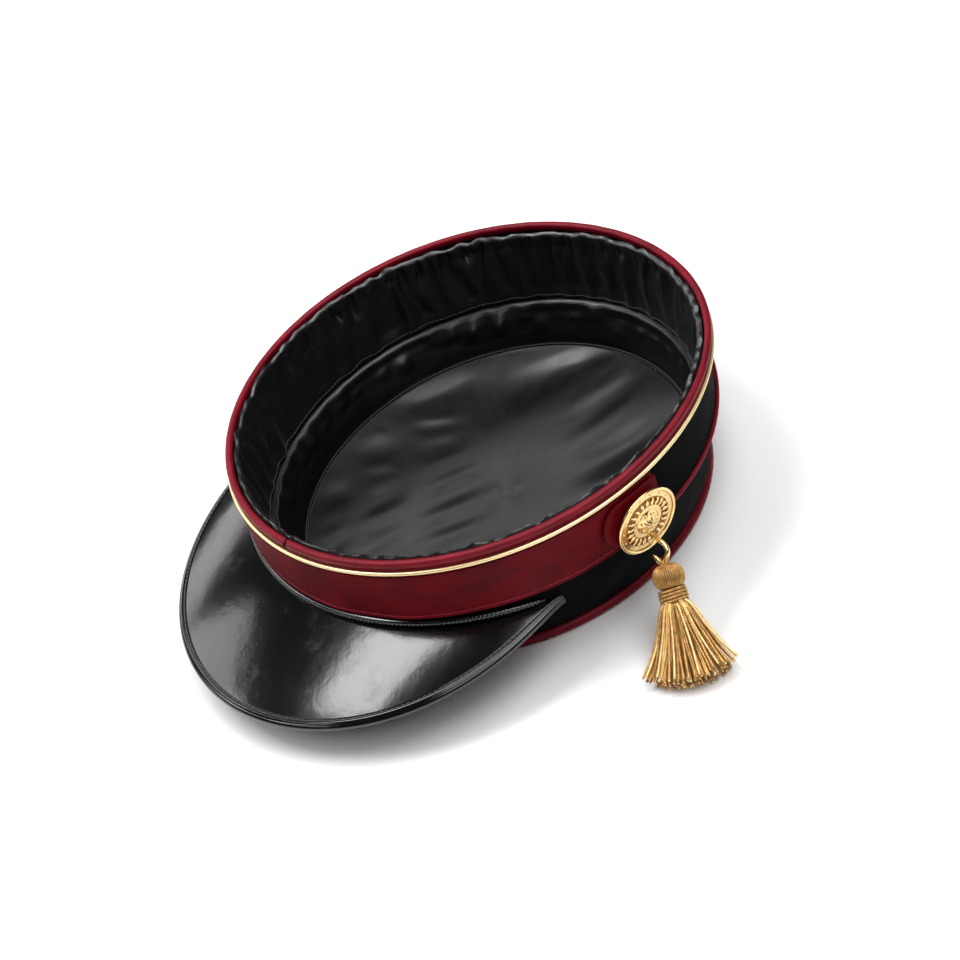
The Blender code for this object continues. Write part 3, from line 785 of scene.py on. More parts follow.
class TwistedCord(GeometryTree):
    """Plies wound round each line of a path, with a random shade for each line."""

    sizes = ("Ply Radius", "Winding Radius", "Twist Length", "Step")
    counts = ("Plies", "Sides", "Seed")

    def build(self) -> Socket:
        """Wind the plies along the lines."""
        curve = self.node("GeometryNodeMeshToCurve", {"Mesh": self.given["Geometry"]})
        fine = self.node("GeometryNodeResampleCurve", {"Curve": curve.outputs[0], "Length": self.given["Step"]},
                         mode="LENGTH")
        shade = self.node("FunctionNodeRandomValue", {"Seed": self.given["Seed"]}, data_type="FLOAT")
        toned = self.node("GeometryNodeStoreNamedAttribute",
                          {"Geometry": fine.outputs[0], "Name": TONE, "Value": shade.outputs[1]},
                          data_type="FLOAT", domain="CURVE")
        plies = self.node("GeometryNodeDuplicateElements",
                          {"Geometry": toned.outputs[0], "Amount": self.given["Plies"]}, domain="SPLINE")
        along = self.node("GeometryNodeSplineParameter").outputs["Length"]
        tone = self.first("GeometryNodeInputNamedAttribute", {"Name": TONE}, data_type="FLOAT")
        turns = self.maths("DIVIDE", along, self.given["Twist Length"])
        place = self.maths("DIVIDE", plies.outputs["Duplicate Index"], self.given["Plies"])
        start = self.maths("MULTIPLY", tone, 7.0)
        angle = self.maths("MULTIPLY", self.maths("ADD", self.maths("ADD", turns, place), start), TURN)
        normal = self.first("GeometryNodeInputNormal")
        tangent = self.first("GeometryNodeInputTangent")
        across = self.vector("CROSS_PRODUCT", tangent, normal)
        spoke = self.vector("ADD", self.scaled(normal, self.maths("COSINE", angle)),
                            self.scaled(across, self.maths("SINE", angle)))
        wound = self.node("GeometryNodeSetPosition", {
            "Geometry": plies.outputs["Geometry"],
            "Offset": self.scaled(spoke, self.given["Winding Radius"])})
        profile = self.node("GeometryNodeCurvePrimitiveCircle",
                            {"Resolution": self.given["Sides"], "Radius": self.given["Ply Radius"]})
        return self.first("GeometryNodeCurveToMesh", {
            "Curve": wound.outputs[0], "Profile Curve": profile.outputs[0], "Fill Caps": True})


class RingOfPieces(GeometryTree):
    """Copies of one piece turned evenly about the Z axis."""

    counts = ("Count",)

    def build(self) -> Socket:
        """Turn one copy to each of the even angles."""
        spots = self.node("GeometryNodeMeshLine", {"Count": self.given["Count"], "Offset": (0.0, 0.0, 0.0)})
        step = self.maths("DIVIDE", TURN, self.given["Count"])
        turn = self.maths("MULTIPLY", self.first("GeometryNodeInputIndex"), step)
        return self.first("GeometryNodeInstanceOnPoints", {
            "Points": spots.outputs[0], "Instance": self.given["Geometry"],
            "Rotation": self.combine(0.0, 0.0, turn)})


class Trees:
    """The node trees of the hat, made once."""

    def __init__(self) -> None:
        """Build the trees."""
        self.stitches = StitchRow()
        self.cord = TwistedCord()
        self.ring = RingOfPieces()


@dataclass
class Assembly:
    """One sub-assembly of the hat."""

    finishes: Finishes
    trees: Trees
    made: list = field(default_factory=list)

    def keep(self, piece: Piece, slot: Slot, *nodes: str) -> Piece:
        """Fasten a finished piece to the hat's body.

        Args:
            piece: The piece.
            slot: Material slot meant for its finish; not used.
            *nodes: CAD nodes that it stands for.

        Returns:
            The piece.
        """
        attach(piece, BODY)
        if nodes:
            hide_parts(*nodes)
        self.made.append(piece)
        return piece

    def sew(self, name: str, lines: Sequence[Array], normals: Sequence[Array], material: Material,
            slot: Slot, pitch: float, length: float, thread: float, slant: float = 0.0,
            closed: bool = False) -> Piece:
        """Sew a row of stitches along each line.

        Args:
            name: The piece's name.
            lines: Points of each line.
            normals: Outward directions at those points.
            material: The thread's finish.
            slot: Material slot.
            pitch: Metres from stitch to stitch.
            length: Metres of one stitch.
            thread: The thread's radius.
            slant: Sideways share of each stitch's direction.
            closed: Whether each line joins its start.

        Returns:
            The stitches.
        """
        path = path_object(name + "_path", lines, normals, closed)
        row = self.trees.stitches.run(name, path, Pitch=pitch, Length=length, Thread=thread, Slant=slant,
                                      Finish=material)
        return self.keep(row, slot)

    def build(self) -> None:
        """Make and dress every piece."""
        raise NotImplementedError


@dataclass
class RimRoll(Assembly):
    """Padded crimson roll round the mouth, joined at the front left, with the gold line under it."""

    half_width: float = 0.0015
    shift: float = 0.0001
    upper_height: float = 0.0012
    lower_height: float = 0.0027
    pucker: float = 0.00002
    swell: float = 0.00002
    join_angle: float = math.radians(6.0)
    join_half_width: float = 0.0030
    join_slant: float = 0.006
    join_depth: float = 0.00035
    join_thread: float = 0.00034
    join_steps: int = 40
    gold_drop: float = 0.0037
    gold_radius: float = 0.0008
    fold_proud: float = 0.0007
    fold_half_height: float = 0.0013

    def tall(self, turn: Array) -> Array:
        """Return the roll's half height over and under its middle."""
        return np.where(np.sin(turn) > 0, self.upper_height, self.lower_height)

    def roll(self) -> None:
        """Make the padded roll with a groove at its join."""
        near = self.join_angle + np.linspace(-0.03, 0.03, 41)
        angle = np.sort(np.concatenate([angles(1100)[:, 0], near % TURN]))[:, None]
        turn = angles(36).T
        fine = Ripple(3, (150, 420), (1.0, 5.0), 40)
        broad = Ripple(4, (12, 60), (0.0, 2.0), 16)
        away = turned_from(angle, self.join_angle) + self.join_slant * np.sin(turn)
        relief = self.pucker * fine(angle, turn / math.pi) + self.swell * broad(angle, turn / math.pi)
        grow = 1.0 + (relief - self.join_depth * bell(away, self.join_half_width)) / self.half_width
        offset = self.shift + self.half_width * np.cos(turn) * grow
        height = FORM.rim_height + self.tall(turn) * np.sin(turn) * grow
        roll = skin("rim_roll", FORM.place(angle, offset, height), self.finishes.crimson_roll)
        self.keep(roll, Slot.CRIMSON, "rim_piping")

    def join(self) -> None:
        """Lay the dark thread in the roll's join."""
        turn = np.linspace(-0.35, math.pi - 0.5, self.join_steps)[:, None]
        offset = self.shift + (self.half_width + 0.00002) * np.cos(turn)
        height = FORM.rim_height + self.tall(turn) * np.sin(turn)
        line = FORM.place(self.join_angle + self.join_slant * np.sin(2 * turn), offset, height)[:, 0]
        thread = np.full(self.join_steps, self.join_thread)
        self.keep(tube("rim_join", line, thread, 8, self.finishes.felt), Slot.CRIMSON)

    def gold(self) -> None:
        """Make the smooth gold line and the crimson fold behind it."""
        height = FORM.rim_height - self.gold_drop
        middle, radius = FORM.felt_proud + FORM.gap + self.gold_radius, self.gold_radius
        turn = angles(18).T
        rows = FORM.place(angles(900), middle + radius * np.cos(turn), height + radius * np.sin(turn))
        self.keep(skin("gold_line", rows, self.finishes.gold_line), Slot.GOLD_CORD, "gold_piping")
        back, face = FORM.felt_proud + FORM.gap / 2, FORM.felt_proud + self.fold_proud
        turn = angles(20).T
        offset = (back + face) / 2 + (face - back) / 2 * np.cos(turn)
        rise = height + 0.0007 + self.fold_half_height * squared(np.sin(turn), 0.6)
        fold = skin("rim_fold", FORM.place(angles(700), offset, rise), self.finishes.crimson)
        self.keep(fold, Slot.CRIMSON)

    def build(self) -> None:
        """Make the roll, its join and the gold line."""
        self.roll()
        self.join()
        self.gold()


@dataclass
class Band(Assembly):
    """Black felt band, the crimson panel over its front with its topstitch, and the welt behind."""

    panel_thickness: float = 0.0012
    panel_top_drop: float = 0.0050
    stitch_rise: float = 0.0016
    stitch_groove: float = 0.00030
    stitch_spread: float = 0.0004
    hem_proud: float = 0.00022
    hem_stitch_drop: float = 0.0016
    slack_depth: float = 0.00016
    gather_depth: float = 0.00006
    gather_fade: float = 0.004
    welt_radius: float = 0.0008
    welt_shift: float = 0.0006
    welt_pucker: float = 0.025
    wall_top_drop: float = 0.0030
    lump_depth: float = 0.00010

    @property
    def panel_height(self) -> float:
        """Height of the crimson panel."""
        return FORM.band_depth - self.panel_top_drop

    def wall(self) -> None:
        """Make the felt band."""
        angle = angles(720)
        low, high = FORM.seam_height, FORM.rim_height - self.wall_top_drop
        rise = np.linspace(0.0, 1.0, 25)
        lump = Ripple(11, (5, 40), (0.5, 3.0), 20)
        outer = FORM.felt_proud + self.lump_depth * lump(angle, rise[None, :])
        inner = np.full((len(angle), 5), FORM.felt_proud - FORM.felt_wall)
        offset = np.concatenate([outer, inner], axis=1)
        height = np.concatenate([low + (high - low) * rise, np.linspace(high, low, 5)])[None, :]
        rows = FORM.place(angle, offset, height)
        self.keep(skin("felt_band", rows, self.finishes.felt, sharp=50.0), Slot.FELT, "band_wall")

    def panel_face(self, angle: Array, rise: Array) -> Array:
        """Return how far out the crimson panel's outer face is.

        Args:
            angle: Angles round the hat.
            rise: Heights over the panel's lower edge.

        Returns:
            The offset at each place.
        """
        slack = Ripple(21, (6, 26), (0.3, 1.6), 16)
        gather = Ripple(22, (110, 260), (0.0, 1.0), 30)
        share, below_top = rise / self.panel_height, self.panel_height - rise
        face = FORM.felt_proud + FORM.gap + self.panel_thickness + self.slack_depth * slack(angle, share)
        face = face - self.stitch_groove * bell(rise - self.stitch_rise, self.stitch_spread)
        face = face + self.hem_proud * (bell(rise - self.stitch_rise / 2, 0.0006) + bell(below_top - 0.0007, 0.0005)
                                        - bell(below_top - self.hem_stitch_drop, self.stitch_spread))
        return face + self.gather_depth * gather(angle, share) * np.exp(-rise / self.gather_fade)

    def panel(self) -> None:
        """Make the crimson panel with folded edges."""
        span = FORM.panel_half_angle
        angle = angles(560, -span, span)
        top = self.panel_height - 0.0002
        fold = self.panel_thickness / 2
        turn = np.linspace(0.0, math.pi, 9)[1:-1]
        rise = np.concatenate([np.linspace(fold, self.gather_fade, 18)[:-1], np.linspace(self.gather_fade, top, 34)])
        outer = self.panel_face(angle, rise[None, :])
        back = FORM.felt_proud + FORM.gap
        inner_rise = np.linspace(top, fold, 5)
        inner = np.full((len(angle), len(inner_rise)), back)
        round_offset = back + fold - fold * np.cos(turn)[None, :] + (outer[:, :1] - back - 2 * fold) * 0.5
        round_rise = fold - fold * np.sin(turn)
        offset = np.concatenate([outer, inner, np.broadcast_to(round_offset, (len(angle), len(turn)))], axis=1)
        height = FORM.seam_height + np.concatenate([rise, inner_rise, round_rise])[None, :]
        away = (span - np.abs(angle)) * FORM.mouth_width / 2
        taper = np.sqrt(np.clip(1 - (1 - np.clip(away / fold, 0.0, 1.0)) ** 2, 0.0, 1.0))
        middle = back + fold
        offset = middle + (offset - middle) * np.maximum(taper, 0.05)
        crimson = skin("crimson_panel", FORM.place(angle, offset, height), self.finishes.crimson, Wrap.TUBE)
        self.keep(crimson, Slot.CRIMSON, "crimson_band")
        seam = angles(900, -span + 0.02, span - 0.02)
        rise = np.full_like(seam, self.stitch_rise)
        face = self.panel_face(seam, rise)
        line = FORM.place(seam, face, FORM.seam_height + rise)[:, 0]
        self.sew("panel_topstitch", [line], [outward(seam[:, 0])], self.finishes.red_thread, Slot.CRIMSON,
                 pitch=0.0011, length=0.00095, thread=0.00014)

    def welt(self) -> None:
        """Make the thin welt round the back."""
        start = FORM.panel_half_angle + 0.001
        angle = angles(420, start, TURN - start)
        turn = angles(16).T
        fine = Ripple(31, (120, 300), (0.5, 3.0), 24)
        radius = self.welt_radius * (1.0 + self.welt_pucker * fine(angle, turn / math.pi))
        offset = FORM.felt_proud + self.welt_shift + radius * np.cos(turn)
        height = FORM.seam_height + radius * np.sin(turn)
        welt = skin("band_welt_roll", FORM.place(angle, offset, height), self.finishes.crimson_roll, Wrap.TUBE)
        self.keep(welt, Slot.CRIMSON, "band_welt")

    def build(self) -> None:
        """Make the band's pieces."""
        self.wall()
        self.panel()
        self.welt()


def outward(angle: Array) -> Array:
    """Return the oval's level outward direction at each angle."""
    normal = np.stack([np.sin(angle) / FORM.mouth_width, -np.cos(angle) / FORM.mouth_length, 0 * angle], axis=-1)
    return normal / np.linalg.norm(normal, axis=-1, keepdims=True)


@dataclass
class Crown(Assembly):
    """Tapered felt side, its fat piping and the flat top that the hat lies on."""

    lump_depth: float = 0.00030
    pucker: float = 0.012
    width_share: float = 1.12

    def build(self) -> None:
        """Make the crown's pieces."""
        angle = angles(720)
        low, high = FORM.crown_side_foot, FORM.seam_height + 0.0004
        rise = np.linspace(0.0, 1.0, 31)
        level = low + (high - low) * rise
        lump = Ripple(41, (4, 26), (0.4, 2.4), 20)
        swell = self.lump_depth * lump(angle, rise[None, :]) * np.sin(math.pi * rise[None, :])
        outer = FORM.side_face(level)[None, :] + swell
        inner_level = np.linspace(high, low, 6)
        inner = FORM.side_face(inner_level) - FORM.felt_wall
        offset = np.concatenate([outer, np.broadcast_to(inner, (len(angle), 6))], axis=1)
        height = np.concatenate([level, inner_level])[None, :]
        felt = skin("felt_crown_side", FORM.place(angle, offset, height), self.finishes.felt, sharp=50.0)
        self.keep(felt, Slot.FELT, "crown_side")
        turn = angles(28).T
        fine = Ripple(43, (90, 260), (0.5, 4.0), 30)
        radius = FORM.crown_piping_radius
        grow = radius * (1.0 + self.pucker * fine(angle, turn / math.pi))
        offset = -FORM.crown_inset + grow * np.cos(turn) * self.width_share
        height = FORM.crown_piping_height + grow * np.sin(turn)
        height = np.maximum(height, 0.0002)
        piping = skin("crown_roll", FORM.place(angle, offset, height), self.finishes.crimson_roll)
        self.keep(piping, Slot.CRIMSON, "crown_piping")
        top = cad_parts["crown_top"]
        top.data.materials.clear()
        top.data.materials.append(self.finishes.felt)


@dataclass
class Peak(Assembly):
    """Black patent peak with its raised binding, its root strip and their stitching."""

    half_angle: float = math.radians(68)
    reach: float = 0.0490
    fall: float = 0.36
    fullness: float = 1.27
    thickness: float = 0.0016
    corner_dip: float = 0.0030
    crown: float = 0.0011
    binding_width: float = 0.0036
    binding_proud: float = 0.0005
    corner_share: float = 0.45
    corner_sliver: float = 0.0008
    strip_height: float = 0.0034
    strip_width: float = 0.0028
    strip_half_angle: float = math.radians(64)
    strip_end_share: float = 0.40

    def root_height(self, angle: Array) -> Array:
        """Return the height of the peak's upper face at the wall."""
        dip = self.corner_dip * np.minimum(1.0, np.abs(angle) / self.half_angle) ** 2
        return FORM.seam_height - 2 * FORM.gap - self.strip_height - dip

    def root(self, angle: Array) -> Array:
        """Return the plan points of the peak's inner edge."""
        offset = FORM.side_face(self.root_height(angle)) + FORM.gap
        return np.stack(FORM.oval(angle, offset), axis=-1)

    def width(self, share: Array) -> Array:
        """Return the binding's width at shares -1 to 1 of the half angle."""
        return self.binding_width * (1.0 + (self.corner_share - 1.0) * np.abs(share) ** 10)

    def edge(self, share: Array) -> Array:
        """Return the plan points of the peak's outer edge.

        Args:
            share: Shares of the half angle, from -1 to 1.

        Returns:
            The points, with a last axis of 2.
        """
        corner = self.binding_width * self.corner_share + FORM.gap + self.corner_sliver
        reach = corner + (self.reach - corner) * np.maximum(0.0, 1 - share * share) ** self.fullness
        root = self.root(share * self.half_angle)
        return root + root / np.linalg.norm(root, axis=-1, keepdims=True) * reach[..., None]

    def normal(self, share: Array) -> Array:
        """Return the outward plan directions of the outer edge.

        Args:
            share: Shares of the half angle, from -1 to 1.

        Returns:
            A unit vector for each share.
        """
        step = 0.01
        along = self.edge(np.minimum(1.0, share + step)) - self.edge(np.maximum(-1.0, share - step))
        out = np.stack([along[..., 1], -along[..., 0]], axis=-1)
        return out / np.linalg.norm(out, axis=-1, keepdims=True)

    def height(self, point: Array) -> Array:
        """Return the height of the peak's upper face.

        Args:
            point: Plan points, with a last axis of 2.

        Returns:
            The height over each point.
        """
        angle = np.arctan2(point[..., 0] / FORM.mouth_width, -point[..., 1] / FORM.mouth_length)
        reach = np.linalg.norm(point, axis=-1) - np.linalg.norm(self.root(angle), axis=-1)
        return self.root_height(angle) - self.fall * reach

    def spots(self, share: Array, inward: Array) -> Array:
        """Return plan points inward of the outer edge by a distance."""
        return self.edge(share) - self.normal(share) * inward[..., None]

    def plate(self) -> None:
        """Make the patent plate, a little under the binding."""
        share = np.linspace(-1.0, 1.0, 181)
        root = self.root(share * self.half_angle)
        inner = self.spots(share, self.width(share) * 0.6)
        part = np.linspace(0.0, 1.0, 37)[None, :, None]
        plan = root[:, None, :] + (inner - root)[:, None, :] * part
        top = self.height(plan) + self.crown * (4 * part * (1 - part))[..., 0] * np.cos(share * math.pi / 2)[:, None]
        upper = np.concatenate([plan, top[..., None]], axis=-1)
        lower = upper[:, ::-1].copy()
        lower[..., 2] -= self.thickness
        plate = skin("patent_peak", np.concatenate([upper, lower], axis=1), self.finishes.patent, Wrap.TUBE, 40.0)
        plate.data.materials.append(self.finishes.underside)
        for face in plate.data.polygons:
            if face.normal.z < -0.3:
                face.material_index = 1
        self.keep(plate, Slot.PATENT, "peak")

    def binding(self) -> None:
        """Make the rolled binding and its stitches."""
        share = np.linspace(-1.0, 1.0, 321)
        out = np.linspace(0.0, 0.66, 16)
        crest = 1.0 + 0.275 * np.sin(math.pi * np.clip((out - 0.26) / 0.40, 0.0, 1.0))
        crest = crest - 0.45 * bell(out - 0.17, 0.07)
        turn = np.linspace(math.pi / 2, -math.pi / 2, 15)[1:-1]
        under = np.linspace(0.66, 0.0, 8)
        reach = np.concatenate([out, 0.66 + 0.34 * np.cos(turn), under])
        level = np.concatenate([crest, np.sin(turn), -np.ones(8)])
        width = self.width(share)[:, None]
        plan = self.spots(share[:, None], width * (1.0 - reach[None, :]))
        middle = self.height(plan) - self.thickness / 2
        tall = middle + level[None, :] * (self.thickness / 2 + self.binding_proud)
        rows = np.concatenate([plan, tall[..., None]], axis=-1)
        self.keep(skin("peak_binding_roll", rows, self.finishes.trim, Wrap.TUBE, 60.0), Slot.PATENT, "peak_binding")
        fine = np.linspace(-0.985, 0.985, 700)
        plan = self.spots(fine, self.width(fine) * 0.83)
        tall = self.height(plan) + self.binding_proud * 0.45
        line = np.concatenate([plan, tall[:, None]], axis=-1)
        tilt = np.concatenate([self.normal(fine) * self.fall, np.ones((len(fine), 1))], axis=-1)
        self.sew("binding_stitches", [line], [tilt], self.finishes.peak_thread, Slot.PATENT,
                 pitch=0.0022, length=0.0017, thread=0.00024)

    def strip(self) -> None:
        """Make the padded strip over the peak's root and its stitches."""
        angle = angles(420, -self.strip_half_angle, self.strip_half_angle)
        taper = 1.0 + (self.strip_end_share - 1.0) * (np.abs(angle) / self.strip_half_angle) ** 12
        turn = np.linspace(-math.pi / 2, math.pi / 2, 21)[None, :]
        foot = self.root_height(angle) - 0.0002
        tall = (self.strip_height + 0.0006) * taper
        crimp = Ripple(51, (330, 520), (0.0, 0.6), 14)
        swell = 1.0 + 0.035 * crimp(angle, turn)
        level = foot + tall * (0.5 + 0.5 * np.sin(turn))
        offset = FORM.side_face(level) + FORM.gap + self.strip_width * taper * np.cos(turn) ** 0.8 * swell
        back_level = foot + tall * np.linspace(0.95, 0.05, 5)[None, :]
        back = FORM.side_face(back_level) + FORM.gap * 0.5
        rows = FORM.place(angle, np.concatenate([offset, back], axis=1),
                            np.concatenate([level, back_level], axis=1))
        self.keep(skin("root_strip", rows, self.finishes.trim, Wrap.TUBE, 60.0), Slot.PATENT, "peak_root_strip")
        seam = angles(700, -self.strip_half_angle + 0.03, self.strip_half_angle - 0.03)
        level = self.root_height(seam) + self.strip_height * 0.80
        offset = FORM.side_face(level) + FORM.gap + self.strip_width * 0.80
        line = FORM.place(seam, offset, level)[:, 0]
        tilt = outward(seam[:, 0]) + np.array([0.0, 0.0, 1.1])
        self.sew("root_strip_stitches", [line], [tilt], self.finishes.peak_thread, Slot.PATENT,
                 pitch=0.0017, length=0.0015, thread=0.00022, slant=0.9)

    def build(self) -> None:
        """Make the peak's pieces."""
        self.plate()
        self.binding()
        self.strip()


@dataclass(frozen=True)
class ClothRun:
    """One cloth simulation of a grid of points, held along its edges and applied at its end."""

    frames: int
    bending: float
    tension: float
    mass: float = 0.03
    damping: float = 8.0
    quality: int = 6
    weight: float = 1.0

    def mesh(self, points: Array, wrap: bool) -> Piece:
        """Make a one-sided sheet from a grid of points.

        Args:
            points: Grid, with axes along, across and XYZ.
            wrap: Whether its last row joins its first.

        Returns:
            The sheet.
        """
        rows, columns = points.shape[:2]
        row = np.arange(rows if wrap else rows - 1)[:, None]
        first, after = row * columns, (row + 1) % rows * columns
        across = np.arange(columns - 1)[None, :]
        quads = np.stack([first + across, after + across, after + across + 1, first + across + 1], -1).reshape(-1, 4)
        mesh = bpy.data.meshes.new("cloth_run")
        mesh.from_pydata(points.reshape(-1, 3).tolist(), [], quads.tolist())
        return new_object("cloth_run", mesh)

    def run(self, points: Array, rest: Array, held: Array, wall: Array, wrap: bool, wall_wrap: bool) -> Array:
        """Let the cloth settle and return where its points end.

        Args:
            points: Start grid, with axes along, across and XYZ.
            rest: Grid that gives the cloth its own lengths.
            held: True at the points that are sewn down.
            wall: Grid of the surface that the cloth can't pass.
            wrap: Whether the cloth's last row joins its first.
            wall_wrap: Whether the wall's last row joins its first.

        Returns:
            The settled grid, in the shape of the start.
        """
        scene = bpy.context.scene
        solid = self.mesh(wall, wall_wrap)
        solid.modifiers.new("Collision", "COLLISION")
        solid.collision.thickness_outer = 0.001
        solid.collision.cloth_friction = 20.0
        sheet = self.mesh(points, wrap)
        sheet.shape_key_add(name="Start")
        key = sheet.shape_key_add(name="Rest")
        key.data.foreach_set("co", rest.astype(np.float32).ravel())
        group = sheet.vertex_groups.new(name="held")
        group.add(np.flatnonzero(held.ravel()).tolist(), 1.0, "REPLACE")
        cloth = sheet.modifiers.new("Cloth", "CLOTH")
        cloth.settings.rest_shape_key = key
        cloth.settings.vertex_group_mass = "held"
        cloth.settings.quality = self.quality
        cloth.settings.mass = self.mass
        cloth.settings.tension_stiffness = cloth.settings.compression_stiffness = self.tension
        cloth.settings.shear_stiffness = self.tension * 0.4
        cloth.settings.bending_stiffness = self.bending
        cloth.settings.tension_damping = cloth.settings.compression_damping = self.damping
        cloth.settings.air_damping = 2.0
        cloth.settings.effector_weights.gravity = self.weight
        cloth.collision_settings.distance_min = 0.001
        cloth.collision_settings.use_self_collision = False
        for frame in range(1, self.frames + 1):
            scene.frame_set(frame)
        shown = sheet.evaluated_get(bpy.context.evaluated_depsgraph_get())
        ends = np.zeros(points.size, np.float32)
        shown.data.vertices.foreach_get("co", ends)
        scene.frame_set(1)
        bpy.data.objects.remove(sheet, do_unlink=True)
        bpy.data.objects.remove(solid, do_unlink=True)
        return ends.reshape(points.shape).astype(float)


def sampled(grid: Array, first: Array, second: Array, wrap: bool) -> Array:
    """Sample a grid of points smoothly between its own points.

    Args:
        grid: Points with axes along, across and XYZ.
        first: Places along the first axis, in steps of the grid.
        second: Places along the second axis, in steps of the grid.
        wrap: Whether the first axis closes on itself.

    Returns:
        Points in the broadcast shape of the places, with a last axis of 3.
    """
    first, second = np.broadcast_arrays(first, second)
    total = np.zeros((*first.shape, 3))
    base_first, base_second = np.floor(first).astype(int), np.floor(second).astype(int)

    def weights(share: Array) -> list:
        """Return the cubic spline's four weights at a share of a step."""
        return [(1 - share) ** 3 / 6, (3 * share ** 3 - 6 * share ** 2 + 4) / 6,
                (-3 * share ** 3 + 3 * share ** 2 + 3 * share + 1) / 6, share ** 3 / 6]

    for i, near in enumerate(weights(first - base_first)):
        row = base_first + i - 1
        row = row % grid.shape[0] if wrap else np.clip(row, 0, grid.shape[0] - 1)
        for j, across in enumerate(weights(second - base_second)):
            column = np.clip(base_second + j - 1, 0, grid.shape[1] - 1)
            total += (near * across)[..., None] * grid[row, column]
    return total


def softened(grid: Array, passes: int) -> Array:
    """Ease the sharpest creases of a closed grid along its first axis.

    Args:
        grid: Points with axes along, across and XYZ.
        passes: How often each row is blended with its neighbours.

    Returns:
        The eased grid.
    """
    for _ in range(passes):
        grid = grid * 0.5 + (np.roll(grid, 1, axis=0) + np.roll(grid, -1, axis=0)) * 0.25
    return grid


def squared_disc(first: Array, second: Array) -> Array:
    """Return where a round disc's points lie on a square grid along their first coordinate."""
    base, twice = 2 + first * first - second * second, 2 * math.sqrt(2) * first
    return (np.sqrt(np.maximum(base + twice, 0)) - np.sqrt(np.maximum(base - twice, 0))) / 2


